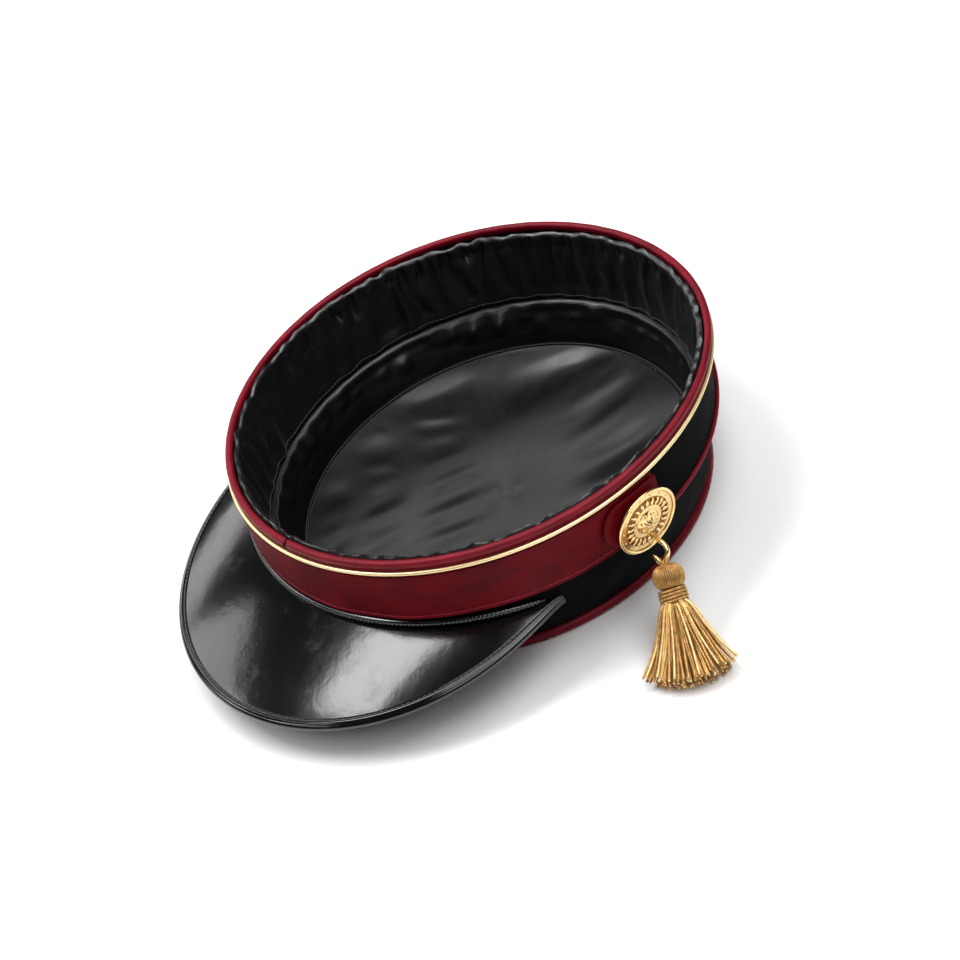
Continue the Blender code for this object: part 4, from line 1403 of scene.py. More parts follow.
@dataclass
class Lining(Assembly):
    """Gathered satin wall, padded lower wall and slack disc, with their double-stitched seams."""

    thickness: float = 0.0006
    seam_depth: float = 0.0360
    foot_height: float = 0.0090
    disc_seam_height: float = 0.0105
    heading_wide: float = 0.0021
    heading_deep: float = 0.0034
    heading_rise: float = 0.0005
    heading_lift: float = 0.0003
    rise_angle: float = math.radians(50.0)
    tuck: float = 0.0022
    fullness: float = 1.18
    fine_gather: float = 0.0002
    broad_gather: float = 0.0018
    sag: float = 0.0017
    sag_angle: float = math.radians(218.0)
    sag_spread: float = math.radians(34.0)
    notch_count: int = 120
    notch_depth: float = 0.0026
    disc_floor: float = 0.0023
    disc_drop: float = 0.0042
    disc_shorter: float = 0.020
    heading_allowance: float = 0.004
    pad_crest: float = 0.30
    pad_depth: float = 0.0056
    pad_fullness: float = 1.035
    pad_most: float = 0.0080
    crumple_depth: float = 0.0016
    crumple_fade: float = 0.45
    disc_steps: int = 72
    fold_heading: float = math.radians(52.0)
    crinkle_spot: tuple = (-0.030, -0.062)
    crinkle_size: float = 0.024
    crinkle_slack: float = 0.13
    disc_slack: tuple = (1.003, 1.006)
    fold_count: int = 5
    fold_height: float = 0.00034
    wall_steps: tuple = (520, 19)
    pad_steps: tuple = (420, 15)
    seam_lines: list = field(default_factory=list)

    @property
    def seam_height(self) -> float:
        """Height of the seam between the upper and lower wall."""
        return FORM.rim_height - self.seam_depth

    def back(self, height: Array) -> Array:
        """Return how far out the upper wall's hidden side is, tucked in under the rim's roll.

        Args:
            height: Heights over the floor.

        Returns:
            The offset at each height.
        """
        under = FORM.rim_height - 0.0040
        tucked = np.minimum(-self.tuck, FORM.lining_back(height))
        share = np.clip((height - under) / 0.0015, 0.0, 1.0)
        return FORM.lining_back(height) * (1 - share) + tucked * share

    def wall_top(self, angle: Array) -> Array:
        """Return the height where the heading turns down into the wall, lower where the lining sags."""
        drop = self.sag * bell(turned_from(angle, self.sag_angle), self.sag_spread)
        return (FORM.rim_height + self.heading_lift + self.heading_rise * np.cos(angle - self.rise_angle)
                - self.heading_deep - drop)

    def face(self, angle: Array, level: Array) -> Array:
        """Return how far out the upper wall is before it is gathered.

        Args:
            angle: Angles round the hat.
            level: Heights over the floor.

        Returns:
            The offset at each place.
        """
        inner = -self.tuck - self.heading_wide - 0.0002
        near = np.clip((level - self.wall_top(angle) + 0.006) / 0.006, 0.0, 1.0) ** 2
        return np.minimum(self.back(level) - self.thickness - 0.0004, inner * near + (1 - near))

    @staticmethod
    def settled_ring(cloth: ClothRun, start: Array, rest: Array, wall: Array) -> Array:
        """Settle a ring of cloth that is sewn down at both edges.

        Args:
            cloth: How it is simulated.
            start: Grid of points that it starts from.
            rest: Grid that gives it its own lengths.
            wall: Grid of the surface behind it.

        Returns:
            The settled grid, with its sharpest creases eased.
        """
        held = np.zeros(start.shape[:2], bool)
        held[:, [0, -1]] = True
        return softened(cloth.run(start, rest, held, wall, True, True), 4)

    def settled_wall(self) -> Array:
        """Gather the upper wall by cloth simulation and return its grid of points."""
        around, down = self.wall_steps
        angle = angles(around)
        share = np.linspace(0.0, 1.0, down)[None, :]
        top = self.wall_top(angle)
        level = top - (top - self.seam_height) * share
        gather = self.fine_gather * Ripple(61, (60, 110), (0.0, 0.5), 30)(angle, share)
        gather = gather + self.broad_gather * Ripple(62, (24, 60), (0.0, 0.8), 30)(angle, share)
        inside = np.sin(math.pi * share) ** 0.5
        start = FORM.place(angle, self.face(angle, level) + (gather - 0.0008) * inside, level)
        rest = start * np.array([self.fullness, self.fullness, 1.0])
        level = FORM.rim_height - 0.0002 - (FORM.rim_height - self.seam_height) * share
        wall = FORM.place(angles(240), self.back(level) + 0.0006, level)
        return self.settled_ring(ClothRun(frames=20, bending=2.0, tension=10.0, weight=0.15), start, rest, wall)

    def notches(self, angle: Array, drop: Array) -> Array:
        """Return how deep the tight tucks under the heading go.

        Args:
            angle: Angles round the hat.
            drop: Distances under the heading's turn.

        Returns:
            The depth outward at each place.
        """
        draw = np.random.default_rng(63)
        gaps = draw.uniform(0.3, 1.7, self.notch_count)
        total = np.zeros(np.broadcast_shapes(angle.shape, drop.shape))
        for centre in np.cumsum(gaps) / gaps.sum() * TURN:
            deep = self.notch_depth * draw.uniform(0.2, 1.0) ** 1.2
            wide = draw.uniform(0.0006, 0.0015) + 0.15 * np.maximum(drop, 0.0)
            fade = bell(drop - 0.0016, draw.uniform(0.003, 0.012)) * np.clip((drop + 0.0026) / 0.0014, 0.0, 1.0)
            away = turned_from(angle, centre) * FORM.mouth_width / 2 - draw.uniform(-0.3, 0.3) * drop
            total += deep * fade * np.exp(-np.abs(away / wide) ** 1.6)
        return total

    def upper(self) -> None:
        """Make the gathered upper wall with the rolled heading at its top."""
        grid = self.settled_wall()
        around, down = self.wall_steps
        angle = angles(1300)
        across = np.linspace(0.0, down - 1.0, 36)[None, :]
        inner = sampled(grid, angle / TURN * around, across, True)
        turn = np.linspace(0.0, math.pi / 2, 10)[None, :-1]
        low = self.wall_top(angle)
        rim = FORM.place(angle, np.array([[-self.tuck]]), low)
        share = np.sin(turn)[..., None]
        swell = Ripple(65, (14, 90), (0.0, 0.5), 30)(angle, turn)
        arc = rim * (1 - share) + inner[:, :1] * share
        arc[..., 2] = low + self.heading_deep * (1 + 0.13 * swell) * np.cos(turn) ** 0.6
        inner = np.concatenate([arc, inner], axis=1)
        drop = low - inner[..., 2]
        push = self.notches(angle, drop) * np.clip(1 + drop / self.heading_deep, 0.0, 1.0)
        reach = np.linalg.norm(inner[..., :2], axis=-1)
        most = FORM.reach(angle, self.back(inner[..., 2]) - self.thickness, inner[..., 2])
        least = FORM.reach(angle, np.array([[-0.0125]]), inner[..., 2])
        wanted = np.clip(reach + push, least, np.maximum(most, least))
        inner[..., :2] *= (wanted / reach)[..., None]
        back_level = np.linspace(inner[:, -1, 2], inner[:, 0, 2] - 0.0004, 6).T
        outer = FORM.place(angle, self.back(back_level) + 0.0001, back_level)
        self.seam_lines.append(inner[:, -3])
        wall = skin("gathered_lining", np.concatenate([inner, outer], axis=1), self.finishes.lining, sharp=70.0)
        self.keep(wall, Slot.LINING, "lining_wall")

    def settled_pad(self) -> Array:
        """Crumple the padded lower wall by cloth simulation and return its grid of points."""
        around, down = self.pad_steps
        angle = angles(around)
        share = np.linspace(0.0, 1.0, down)[None, :]
        low, high = self.foot_height, self.seam_height - FORM.gap
        level = high - (high - low) * share
        crumple = Ripple(71, (26, 70), (0.3, 1.6), 40)(angle, share) * bell(share, self.crumple_fade)
        rise = np.sin(math.pi / 2 * np.clip(share / self.pad_crest, 0.0, 1.0))
        fall = np.cos(math.pi / 2 * np.clip((share - self.pad_crest) / (1 - self.pad_crest), 0.0, 1.0) ** 1.6)
        depth = self.thickness + 0.0003 + rise * fall * (self.pad_depth + self.crumple_depth * crumple)
        start = FORM.place(angle, FORM.lining_back(level) - depth, level)
        rest = start * self.pad_fullness
        wall = FORM.place(angles(240), FORM.lining_back(level) + 0.0002, level)
        return self.settled_ring(ClothRun(frames=14, bending=1.2, tension=12.0, weight=0.0), start, rest, wall)

    def lower(self) -> None:
        """Make the padded lower wall."""
        around, down = self.pad_steps
        angle = angles(1000)
        inner = sampled(self.settled_pad(), angle / TURN * around, np.linspace(0.0, down - 1.0, 32)[None, :], True)
        reach = np.linalg.norm(inner[..., :2], axis=-1)
        back = FORM.lining_back(inner[..., 2])
        most = FORM.reach(angle, back - self.thickness, inner[..., 2])
        least = FORM.reach(angle, back - self.pad_most, inner[..., 2])
        inner[..., :2] *= (np.clip(reach, least, most) / reach)[..., None]
        back_level = np.linspace(inner[:, -1, 2], inner[:, 0, 2], 5).T
        outer = FORM.place(angle, FORM.lining_back(back_level), back_level)
        # The pad's darker satin copy is painted shade on the lower wall.
        wall = skin("padded_lining", np.concatenate([inner, outer], axis=1), self.finishes.pad, sharp=70.0)
        self.keep(wall, Slot.LINING, "lining_lower")
        self.seam_lines += [inner[:, 2], inner[:, -3], inner[:, -5]]

    def disc_edge(self) -> float:
        """Return the disc's outer offset."""
        return float(FORM.lining_back(np.array(self.disc_seam_height)) - self.thickness - 0.0026)

    def settled_disc(self) -> Array:
        """Drop the slack disc by cloth simulation and return its square grid of points."""
        line = np.linspace(-1.0, 1.0, self.disc_steps)
        u, v = np.meshgrid(line, line, indexing="ij")
        x, y = u * np.sqrt(1 - v * v / 2), v * np.sqrt(1 - u * u / 2)
        share, angle = np.hypot(x, y), np.arctan2(x, -y)
        offset = self.disc_edge() - FORM.dent(angle, np.array(self.disc_seam_height))
        across, along = FORM.oval(angle, offset)
        inside = np.clip((1 - share) / 0.10, 0.0, 1.0)
        plan = np.stack([across * share, along * share], axis=-1)
        height = self.disc_seam_height - self.disc_drop * (1 - share ** 4) + self.folds(plan) * inside
        start = np.concatenate([plan, height[..., None]], axis=-1)
        away = plan - np.array(self.crinkle_spot)
        near = bell(np.linalg.norm(away, axis=-1), self.crinkle_size)
        flow, cross = self.fold_axes()
        grown = (plan @ flow)[..., None] * flow * self.disc_slack[0]
        grown = grown + (plan @ cross)[..., None] * cross * self.disc_slack[1]
        grown = grown + away * (self.crinkle_slack * near)[..., None]
        rest = np.concatenate([grown, np.full((*u.shape, 1), self.disc_seam_height)], axis=-1)
        held = np.zeros(u.shape, bool)
        held[[0, -1], :] = True
        held[:, [0, -1]] = True
        corner = np.linspace(-0.11, 0.11, 12)
        east, north = np.meshgrid(corner, corner, indexing="ij")
        floor = np.stack([east, north, np.full_like(east, self.disc_floor - 0.0009)], axis=-1)
        cloth = ClothRun(frames=22, bending=9.0, tension=15.0, mass=0.06, weight=0.2)
        return cloth.run(start, rest, held, floor, False, False)

    def fold_axes(self) -> tuple:
        """Return the directions along and across the disc's long folds."""
        cosine, sine = math.cos(self.fold_heading), math.sin(self.fold_heading)
        return np.array([cosine, sine]), np.array([-sine, cosine])

    def folds(self, plan: Array) -> Array:
        """Return the height of the long soft folds that the slack disc starts from.

        Args:
            plan: Plan points, with a last axis of 2.

        Returns:
            The height at each point.
        """
        along, cross = (plan @ axis for axis in self.fold_axes())
        draw = np.random.default_rng(85)
        total = np.zeros(along.shape)
        for _ in range(self.fold_count):
            pitch, phase, slant = draw.uniform(0.028, 0.060), draw.uniform(0.0, TURN), draw.normal(0.0, 0.14)
            bend, centre = draw.normal(0.0, 2.5), draw.uniform(-0.05, 0.05)
            total += np.cos(TURN * (cross + slant * along + bend * (along - centre) ** 2) / pitch + phase)
        return self.fold_height * total

    def disc(self) -> None:
        """Make the slack disc over the crown."""
        grid = self.settled_disc()
        angle = angles(540)
        share = np.linspace(0.02, 1.0, 76)[None, :]
        x, y = share * np.sin(angle), -share * np.cos(angle)
        last = self.disc_steps - 1
        top = sampled(grid, (squared_disc(x, y) + 1) / 2 * last, (squared_disc(y, x) + 1) / 2 * last, False)
        top[..., 2] = np.maximum(top[..., 2], self.disc_floor + self.thickness)
        low = top.copy()
        low[..., 2] = np.maximum(top[..., 2] - self.thickness, self.disc_floor)
        rows = np.ascontiguousarray(np.swapaxes(np.concatenate([top, low[:, ::-1]], axis=1), 0, 1))
        disc = skin("lining_disc_cloth", rows, self.finishes.disc, Wrap.TUBE, 70.0)
        self.keep(disc, Slot.LINING, "lining_disc")

    def seams(self) -> None:
        """Sew both sides of the wall's seam and the double row over the disc."""
        for index, line in enumerate(self.seam_lines):
            normals = -outward(angles(len(line))[:, 0])
            self.sew(f"lining_seam_stitches_{index + 1}", [line + normals * 0.0001], [normals],
                     self.finishes.black_thread, Slot.LINING, pitch=0.0021, length=0.0019, thread=0.00016, closed=True)

    def build(self) -> None:
        """Make the lining's pieces."""
        self.upper()
        self.lower()
        self.disc()
        self.seams()


@dataclass
class SideTab(Assembly):
    """Crimson tab with a rounded, slightly lifted front end, under the button."""

    thickness: float = 0.0012
    top_drop: float = 0.0068
    bottom_drop: float = 0.0252
    start: float = math.radians(80)
    round_angle: float = math.radians(5)
    back_offset: float = 0.0026
    lift: float = 0.0012
    lift_spread: float = 0.05

    def half(self, angle: Array) -> Array:
        """Return the tab's half height at each angle, which grows from nothing at its round end."""
        into = np.clip((angle - self.start) / self.round_angle, 0.0, 1.0)
        return np.maximum((self.bottom_drop - self.top_drop) / 2 * np.sqrt(1 - (1 - into) ** 2), 0.0003)

    def build(self) -> None:
        """Make the tab."""
        end = FORM.panel_half_angle
        share = np.linspace(0.0, 1.0, 141)[:, None] ** 1.8
        angle = self.start + (end - self.start) * share
        middle = FORM.rim_height - (self.top_drop + self.bottom_drop) / 2
        half = self.half(angle)
        turn = angles(48).T
        side, face = squared(np.sin(turn), 0.22), squared(np.cos(turn), 0.6)
        height = middle + half * side
        puff = Ripple(91, (8, 40), (0.5, 2.0), 12)
        offset = self.back_offset + self.thickness / 2 + face * self.thickness / 2
        offset = offset + np.where(face > 0, 0.00008 * puff(angle, side), 0.0)
        offset = offset + self.lift * bell(angle - self.start, self.lift_spread)
        tab = skin("side_tab_cloth", FORM.place(angle, offset, height), self.finishes.crimson, Wrap.TUBE, 70.0)
        self.keep(tab, Slot.CRIMSON, "side_tab")


def aligned(piece: Piece, centre: Vector, side: Vector, upward: Vector, axis: Vector) -> Piece:
    """Move a mesh made about +Z so that its X, Y and Z lie along these directions from a centre."""
    piece.data.transform(Matrix.Translation(centre) @ Matrix((side, upward, axis)).transposed().to_4x4())
    return piece


@dataclass(frozen=True)
class Mark:
    """One kind of raised mark round the button, from start to end in shares of its radius.

    The level that it stands on is a share of the button's height, and its half width is in metres.
    """

    name: str
    count: int
    start: float
    end: float
    half_width: float
    level: float


@dataclass
class Button(Assembly):
    """Gilt button with a raised rim, a ring of rays, small dots and a petalled boss."""

    angle: float = math.radians(90)
    drop: float = 0.0203
    radius: float = 0.0142
    tilt: float = math.radians(7)
    height: float = 0.0044
    back: float = 0.0041
    tab_bottom_drop: float = 0.0252
    petal_count: int = 8
    petal_depth: float = 0.0003
    dish: float = 0.905
    boss: float = 0.35
    field: tuple = (0.50, 0.75)
    marks: tuple = (Mark("button_knobs", 7, 0.20, 0.31, 0.00085, 0.56),
                    Mark("button_rays", 22, 0.50, 0.75, 0.00074, 0.385),
                    Mark("button_dots", 15, 0.80, 0.86, 0.00040, 0.29))

    def axes(self) -> tuple:
        """Return the centre of the button's back, its outward and its upward direction."""
        cosine, sine = math.cos(self.tilt), math.sin(self.tilt)
        over = (self.tab_bottom_drop - self.drop) * math.tan(self.tilt)
        spot = FORM.place(np.array(self.angle), np.array(self.back + over), np.array(FORM.rim_height - self.drop))
        return Vector(spot), Vector((cosine, 0.0, -sine)), Vector((sine, 0.0, cosine))

    def placed(self, piece: Piece) -> Piece:
        """Move a mesh made about +Z onto the button's axis."""
        centre, axis, upward = self.axes()
        return aligned(piece, centre, upward.cross(axis), upward, axis)

    def profile(self) -> Array:
        """Return the turned profile as radius and height, from the back's edge to the middle."""
        rim = np.linspace(-1.2, math.pi, 15)
        bead = np.stack([0.955 + 0.045 * np.cos(rim), 0.30 + 0.10 * np.sin(rim)], axis=-1)
        dish = np.linspace(self.dish, self.boss + 0.01, 30)
        bowl = self.bowl(dish) + 0.035 * bell(dish - 0.60, 0.012)
        boss = np.linspace(self.boss, 0.02, 16)
        dome = 0.38 + 0.30 * (1 - (boss / self.boss) ** 2.2) + 0.34 * bell(boss, 0.10)
        back = np.array([[0.86, 0.0], [0.93, 0.02], [0.955, 0.09]])
        return np.concatenate([back, bead, np.stack([dish, bowl], -1), np.stack([boss, dome], -1)])

    def build(self) -> None:
        """Make the button."""
        profile = self.profile()
        turn = angles(128).T
        radius = profile[:, :1] * self.radius
        level = profile[:, 1:] * self.height
        inside = np.clip((0.34 - profile[:, :1]) / 0.06, 0.0, 1.0) * np.clip(profile[:, :1] / 0.10, 0.0, 1.0)
        petal = 0.5 + 0.5 * np.cos(self.petal_count * turn)
        level = level + inside * self.petal_depth * (petal ** 0.6 - 0.5)
        rows = np.stack([radius * np.cos(turn), radius * np.sin(turn), np.broadcast_to(level, (len(profile), 128))],
                        axis=-1)
        body = skin("button_body", rows, self.finishes.gilt, Wrap.TUBE, 60.0)
        self.keep(self.placed(body), Slot.GILT, "side_button")
        self.keep(self.placed(self.recess()), Slot.GILT)
        for mark in self.marks:
            ring = self.trees.ring.run(mark.name, self.lozenge(mark), Count=mark.count, Finish=self.finishes.gilt)
            self.keep(self.placed(ring), Slot.GILT)

    def bowl(self, share: Array) -> Array:
        """Return the height of the button's hollow field, as a share of the button's, at shares of its radius."""
        return 0.26 + 0.10 * (1 - (share / self.dish) ** 2)

    def recess(self) -> Piece:
        """Make the darker ring that the rays stand on: tarnish and painted shade between the rays."""
        low, high = self.field
        share = np.concatenate([np.linspace(low, high, 8), np.linspace(high, low, 4)])[:, None]
        lift = np.concatenate([np.full(8, 0.028), np.full(4, -0.05)])[:, None]
        turn = angles(96).T
        radius = share * self.radius
        level = np.broadcast_to((self.bowl(share) + lift) * self.height, (12, 96))
        rows = np.stack([radius * np.cos(turn), radius * np.sin(turn), level], axis=-1)
        # Dark gilt: tarnish and painted shade between the rays.
        return skin("button_recess", np.ascontiguousarray(rows.swapaxes(0, 1)), self.finishes.gilt_shadow)

    def lozenge(self, mark: Mark) -> Piece:
        """Make one raised mark that points out from the middle.

        Args:
            mark: Its sizes.

        Returns:
            The mark.
        """
        run = np.linspace(0.0, 1.0, 7)
        size = mark.half_width * np.sqrt(np.maximum(np.sin(math.pi * run), 0.03))
        turn = angles(8)[:, 0]
        reach = (mark.start + (mark.end - mark.start) * run) * self.radius
        rows = np.stack([
            np.broadcast_to(reach[:, None], (7, 8)),
            size[:, None] * np.cos(turn)[None, :],
            mark.level * self.height + 0.75 * size[:, None] * np.sin(turn)[None, :],
        ], axis=-1)
        return skin("button_mark", rows, self.finishes.gilt, Wrap.TUBE)


@dataclass
class Tassel(Assembly):
    """Gold tassel: a ball head of strands, a bound neck and a fan of cords, on a wire hook."""

    heading_angle: float = math.radians(-36)
    lean_angle: float = math.radians(48)
    out: float = 0.0099
    forward: float = 0.0036
    top_height: float = 0.0306
    head_length: float = 0.0098
    head_radius: float = 0.0062
    neck_length: float = 0.0053
    neck_radius: float = 0.0052
    skirt_run: float = 0.0290
    skirt_half_height: float = 0.0050
    skirt_lift: float = 0.0004
    skirt_rounding: float = 0.0080
    skirt_rows: tuple = ((0.98, 14, 1.0), (0.60, 18, 0.99), (0.15, 22, 0.98), (-0.35, 23, 0.97), (-0.85, 19, 0.95))
    cord_radius: float = 0.00060
    strand_count: int = 42
    strand_radius: float = 0.00034
    wrap_turns: int = 4
    shoulder: float = 0.0018
    flare: float = 0.0128
    seed: int = 97
    wire_radius: float = 0.0010
    hook_below: float = 0.0072
    hook_bulge: float = 0.0150
    leaf_length: float = 0.0056
    hook_drop: float = 0.0060
    hook_entry: float = 0.0018

    def axes(self) -> tuple:
        """Return the head's top, the lean, the heading, the sideways and the upward direction."""
        face = Button(self.finishes, self.trees).axes()[0].x
        top = np.array([face + self.out, -self.forward, self.top_height])
        heading = np.array([math.cos(self.heading_angle), math.sin(self.heading_angle), 0.0])
        lean = heading * math.cos(self.lean_angle) - np.array([0.0, 0.0, math.sin(self.lean_angle)])
        sideways = np.array([-heading[1], heading[0], 0.0])
        upward = np.cross(sideways, lean)
        upward = upward if upward[2] > 0 else -upward
        return top, lean, heading, sideways, upward

    def along_head(self, piece: Piece) -> Piece:
        """Move a mesh made about +Z onto the head's axis."""
        top, axis, _, side, _ = (Vector(x) for x in self.axes())
        return aligned(piece, top, side, axis.cross(side), axis)

    @property
    def head_middle(self) -> float:
        """Distance of the ball's middle from the head's top."""
        return self.head_length * 0.52

    def core(self) -> None:
        """Make the dark core of the ball and the neck, its colour painted shade in the gaps between the strands."""
        turn = angles(32).T
        arc = np.linspace(0.12, math.pi - 0.55, 24)[:, None]
        radius = (self.head_radius - 0.0008) * np.sin(arc) ** 0.68
        level = self.head_middle - (self.head_middle - 0.0006) * np.cos(arc)
        hole = np.array([[0.0009, 0.0030], [0.0011, 0.0010]])
        foot = np.array([[0.0040, self.head_length + 0.0008], [0.0040, self.head_length + self.neck_length]])
        radii = np.concatenate([hole[:, :1], radius, foot[:, :1]])
        levels = np.concatenate([hole[:, 1:], level, foot[:, 1:]])
        rows = np.stack([radii * np.cos(turn), radii * np.sin(turn), np.broadcast_to(levels, (len(levels), 32))], -1)
        # The core's dark thread colour is painted shade between the strands.
        core = skin("tassel_core", rows, self.finishes.tassel_shadow, Wrap.TUBE, 60.0)
        self.keep(self.along_head(core), Slot.GOLD_CORD, "tassel")

    def strands(self) -> None:
        """Lay the lengthwise strands over the ball."""
        bend = np.linspace(0.16, math.pi - 0.42, 30)
        radius = (self.head_radius - self.strand_radius) * np.sin(bend) ** 0.62
        level = self.head_middle - (self.head_middle - 0.0004) * np.cos(bend)
        line = np.stack([radius, np.zeros(30), level], axis=-1)
        line = np.concatenate([[[0.0012, 0.0, 0.0022]], line])
        strand = self.trees.cord.run(
            "tassel_strand", path_object("strand_path", [line]), Plies=1, Ply_Radius=self.strand_radius,
            Winding_Radius=0.00003, Twist_Length=0.0022, Step=0.0004, Sides=6, Seed=2, Finish=self.finishes.tassel)
        strands = self.trees.ring.run("tassel_head_strands", strand, Count=self.strand_count,
                                      Finish=self.finishes.tassel)
        self.keep(self.along_head(strands), Slot.GOLD_CORD)

    def binding(self) -> None:
        """Wind the cord round the neck."""
        turns = np.linspace(0.0, 1.0, 200)
        spin = TURN * self.wrap_turns * turns
        radius = self.neck_radius - 0.0004 + 0.0003 * np.sin(turns * math.pi)
        level = self.head_length - 0.0002 + (self.neck_length - 0.0002) * turns
        coil = np.stack([radius * np.cos(spin), radius * np.sin(spin), level], axis=-1)
        wrap = self.trees.cord.run(
            "tassel_neck_wrap", path_object("wrap_path", [coil]), Plies=2, Ply_Radius=0.00040,
            Winding_Radius=0.00026, Twist_Length=0.0026, Step=0.0004, Sides=6, Seed=8, Finish=self.finishes.tassel)
        self.keep(self.along_head(wrap), Slot.GOLD_CORD)

    def cord_lines(self) -> list:
        """Return the centre line of each skirt cord."""
        top, lean, heading, sideways, upward = self.axes()
        neck = top + lean * (self.head_length + self.neck_length * 0.85)
        draw = np.random.default_rng(self.seed)
        run = np.linspace(0.0, 1.0, 28)
        lines = []
        rest = self.skirt_half_height + self.skirt_lift
        for level, count, reach in self.skirt_rows:
            wide = math.sqrt(max(0.0, 1 - (level * 0.90) ** 2)) ** 0.45
            for place in range(count):
                aside = (2 * (place + 0.5) / count - 1) * wide + draw.normal(0.0, 0.020)
                high = level + draw.normal(0.0, 0.06)
                share = run * (reach + draw.normal(0.0, 0.010))
                start = 0.0042 + self.shoulder * (1 - np.exp(-share / 0.04))
                half_width = start + self.flare * share ** 1.2
                half_height = (start - 0.0002) * (1 - 0.30 * share ** 2)
                drop = 1 - np.clip(1 - share, 0.0, 1.0) ** 1.6
                centre = neck + heading * (share * self.skirt_run)[:, None]
                centre[:, 2] = neck[2] + (rest - neck[2]) * drop
                tilt = upward[None, :] * (1 - share)[:, None] + np.array([0.0, 0.0, 1.0]) * share[:, None]
                tilt /= np.linalg.norm(tilt, axis=-1, keepdims=True)
                swing = draw.normal(0.0, 0.00030) * np.sin(run * math.pi * draw.uniform(0.8, 1.8))
                line = centre + sideways * (half_width * aside + swing)[:, None]
                line = line + tilt * (half_height * high)[:, None]
                line = line - heading * (self.skirt_rounding * share * aside * aside)[:, None]
                line[:, 2] = np.maximum(line[:, 2], self.cord_radius + 0.0003)
                lines.append(line)
        return lines

    def skirt(self) -> None:
        """Make the fan of twisted cords."""
        path = path_object("skirt_path", self.cord_lines())
        cords = self.trees.cord.run(
            "tassel_cords", path, Plies=2, Ply_Radius=self.cord_radius * 0.74,
            Winding_Radius=self.cord_radius * 0.26, Twist_Length=0.0022, Step=0.00042, Sides=5, Seed=6,
            Finish=self.finishes.tassel)
        self.keep(cords, Slot.GOLD_CORD)

    def hook(self) -> None:
        """Bend the wire from the button into the head."""
        button = Button(self.finishes, self.trees)
        centre, axis, upward = (np.array(x) for x in button.axes())
        top, lean = self.axes()[:2]
        start = centre + axis * 0.34 * button.height - upward * self.hook_below
        end = top + lean * self.hook_entry
        first, second = start + axis * self.hook_bulge, end - lean * self.hook_drop
        share = np.linspace(0.0, 1.0, 60)[:, None]
        line = start * (1 - share) ** 3 + first * 3 * share * (1 - share) ** 2
        line = line + second * 3 * share ** 2 * (1 - share) + end * share ** 3
        wire = tube("hook_wire", line, np.full(60, self.wire_radius), 14, self.finishes.gilt)
        self.keep(wire, Slot.GILT, "tassel_hook")

    def leaf(self) -> None:
        """Make the pointed leaf at the hook's end."""
        top, lean, _, sideways, _ = self.axes()
        tip = top - lean * self.leaf_length * 0.75 - sideways * self.leaf_length * 0.62
        share = np.linspace(0.0, 1.0, 24)
        blade = tip + (top + lean * 0.0006 - sideways * 0.0008 - tip) * share[:, None]
        width = 0.00012 + 0.0010 * np.sin(math.pi * np.clip(share * 0.85 + 0.02, 0.0, 1.0)) ** 0.8
        self.keep(tube("hook_leaf", blade, width, 12, self.finishes.gilt), Slot.GILT)

    def build(self) -> None:
        """Make the tassel's pieces."""
        self.core()
        self.strands()
        self.binding()
        self.skirt()
        self.hook()
        self.leaf()


def tube(name: str, line: Array, radius: Array, sides: int, material: Material) -> Piece:
    """Sweep a round section along a line without twisting it.

    Args:
        name: The object's name.
        line: Points of the line.
        radius: Radius of the section at each point.
        sides: Corners of the section.
        material: The finish.

    Returns:
        The tube.
    """
    tangent = np.gradient(line, axis=0)
    tangent /= np.linalg.norm(tangent, axis=-1, keepdims=True)
    normal = np.cross(tangent[0], [0.3, 0.5, 0.8])
    rows = []
    for point, ahead, size in zip(line, tangent, radius):
        normal = normal - ahead * normal.dot(ahead)
        normal = normal / np.linalg.norm(normal)
        across = np.cross(ahead, normal)
        turn = angles(sides)
        rows.append(point + size * (np.cos(turn) * normal + np.sin(turn) * across))
    return skin(name, np.stack(rows), material, Wrap.TUBE, 60.0)


@dataclass(frozen=True)
class Softbox:
    """A soft light, with its heading from the front, -Y, towards +X, all angles in degrees."""

    name: str
    heading: float
    elevation: float
    size: tuple
    power: float
    distance: float
    roll: float = 0.0


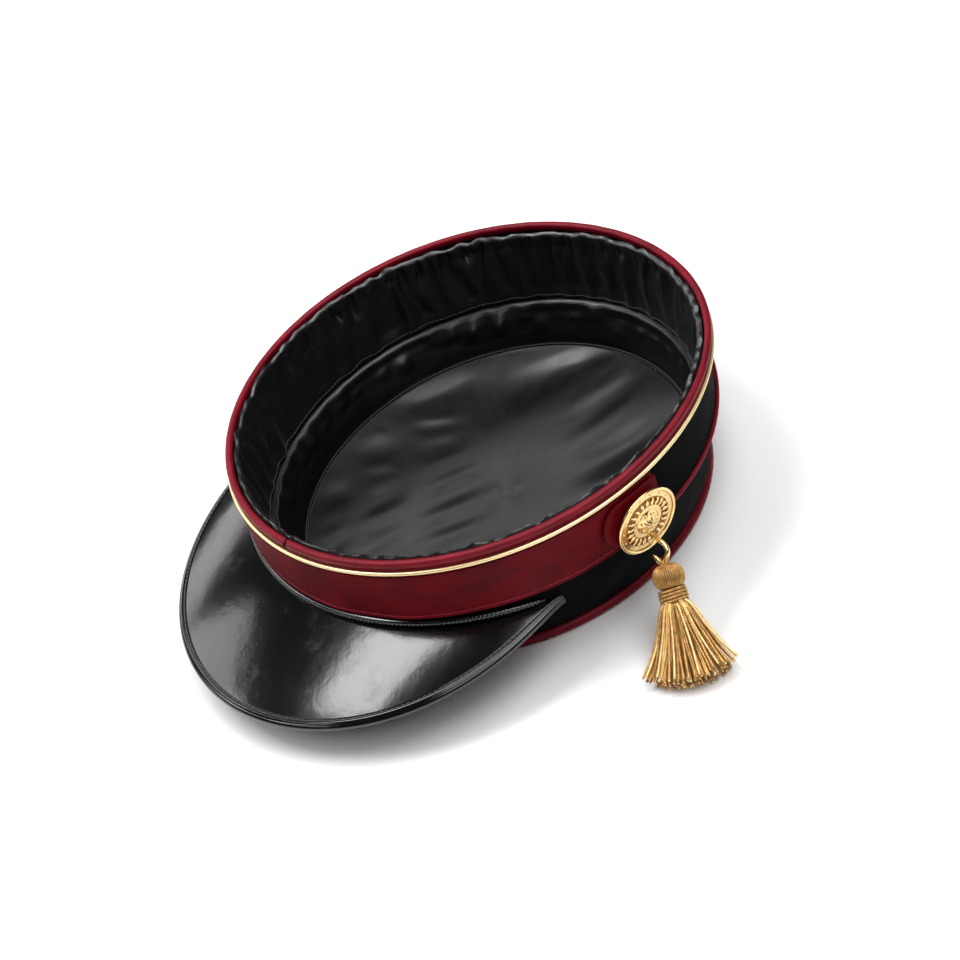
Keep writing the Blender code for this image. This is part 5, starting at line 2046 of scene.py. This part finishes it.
@dataclass
class Studio:
    """Pale floor, soft lights and the photograph's camera."""

    softboxes: tuple = (
        Softbox("key", -60.0, 67.5, (0.85, 0.36), 14.0, 1.4, -25.0),
        Softbox("back_top", 150.0, 70.0, (1.5, 1.0), 24.0, 1.7),
        Softbox("front_fill", 76.0, 50.0, (1.3, 1.0), 9.0, 1.8),
        Softbox("disc_glow", -116.0, 42.0, (0.7, 0.30), 2.4, 1.5),
        Softbox("pad_glow", -54.0, 29.0, (0.80, 0.42), 4.2, 1.5),
        Softbox("side_glow", -88.0, 17.0, (0.9, 0.26), 2.5, 1.5),
        Softbox("edge_glow", -27.0, 38.0, (1.2, 0.07), 2.4, 1.5),
    )

    elevation: float = math.radians(40.6)
    azimuth: float = math.radians(64.2)
    roll: float = math.radians(-21.44)
    distance: float = 0.8775
    shift_right: float = 0.00683
    shift_up: float = -0.03865
    lens: float = 83.19
    sensor: float = 36.0

    def camera(self) -> None:
        """Place the camera at the photograph's angle."""
        flat = math.cos(self.elevation)
        back = Vector((math.sin(self.azimuth) * flat, -math.cos(self.azimuth) * flat, math.sin(self.elevation)))
        level = Vector((math.cos(self.azimuth), math.sin(self.azimuth), 0.0))
        over = back.cross(level)
        right = level * math.cos(self.roll) + over * math.sin(self.roll)
        up = over * math.cos(self.roll) - level * math.sin(self.roll)
        data = bpy.data.cameras.new("photo_camera")
        data.lens, data.sensor_width = self.lens, self.sensor
        data.clip_start, data.clip_end = 0.01, 50.0
        made = bpy.data.objects.new("photo_camera", data)
        place = Vector((0.0, 0.0, FORM.rim_height)) + back * self.distance
        place += right * self.shift_right + up * self.shift_up
        turn = Matrix((right, up, back)).transposed().to_4x4()
        made.matrix_world = Matrix.Translation(place) @ turn
        bpy.context.scene.collection.objects.link(made)
        bpy.context.scene.camera = made

    def softbox(self, light: Softbox) -> None:
        """Aim a soft light at the hat.

        Args:
            light: Its place, size and power.
        """
        data = bpy.data.lights.new(light.name, "AREA")
        data.shape = "RECTANGLE"
        data.size, data.size_y = light.size
        data.energy = light.power
        made = bpy.data.objects.new(light.name, data)
        turn, high = math.radians(light.heading), math.radians(light.elevation)
        away = Vector((math.sin(turn) * math.cos(high), -math.cos(turn) * math.cos(high), math.sin(high)))
        made.location = away * light.distance + Vector((0.0, 0.0, 0.03))
        made.rotation_mode = "QUATERNION"
        made.rotation_quaternion = away.to_track_quat("Z", "Y") @ Quaternion((0.0, 0.0, 1.0), math.radians(light.roll))
        bpy.context.scene.collection.objects.link(made)

    def lights(self) -> None:
        """Light the hat softly, mostly from above and from the upper left of the view."""
        world = bpy.data.worlds.new("studio_world")
        world.use_nodes = True
        world.node_tree.nodes["Background"].inputs[0].default_value = (0.9, 0.93, 1.0, 1.0)
        world.node_tree.nodes["Background"].inputs[1].default_value = 0.05
        bpy.context.scene.world = world
        bpy.context.scene.view_settings.view_transform = "Standard"
        for light in self.softboxes:
            self.softbox(light)

    def floor(self) -> None:
        """Lay the plain pale floor."""
        half = 4.0
        mesh = bpy.data.meshes.new("floor")
        mesh.from_pydata([(-half, -half, 0), (half, -half, 0), (half, half, 0), (-half, half, 0)], [], [(0, 1, 2, 3)])
        shader = Shader("pale_floor")
        cloud = shader.noise(shader.place(), 3.0, 2.0)
        shader.join(shader.ramp(cloud, [(0.0, (0.88, 0.88, 0.885)), (1.0, (0.92, 0.92, 0.92))]), "Base Color")
        shader.plain(Roughness=0.75, Specular_IOR_Level=0.2)
        mesh.materials.append(shader.material)
        new_object("floor", mesh)

    def build(self) -> None:
        """Set the stage."""
        self.camera()
        self.lights()
        self.floor()


def write_sizes() -> None:
    """Update the view layer; nothing is written.
    """
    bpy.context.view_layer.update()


def main() -> None:
    """Build the looks in order and report each piece."""
    logging.basicConfig(level=logging.INFO, format="%(message)s")
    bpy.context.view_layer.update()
    Studio().build()
    finishes = Finishes()
    trees = Trees()
    for kind in (RimRoll, Band, Crown, Peak, Lining, SideTab, Button, Tassel):
        assembly = kind(finishes, trees)
        assembly.build()
        for piece in assembly.made:
            LOG.info("%s: %s, %d faces", kind.__name__, piece.name, len(piece.data.polygons))
    write_sizes()


if __name__ == "__main__":
    main()
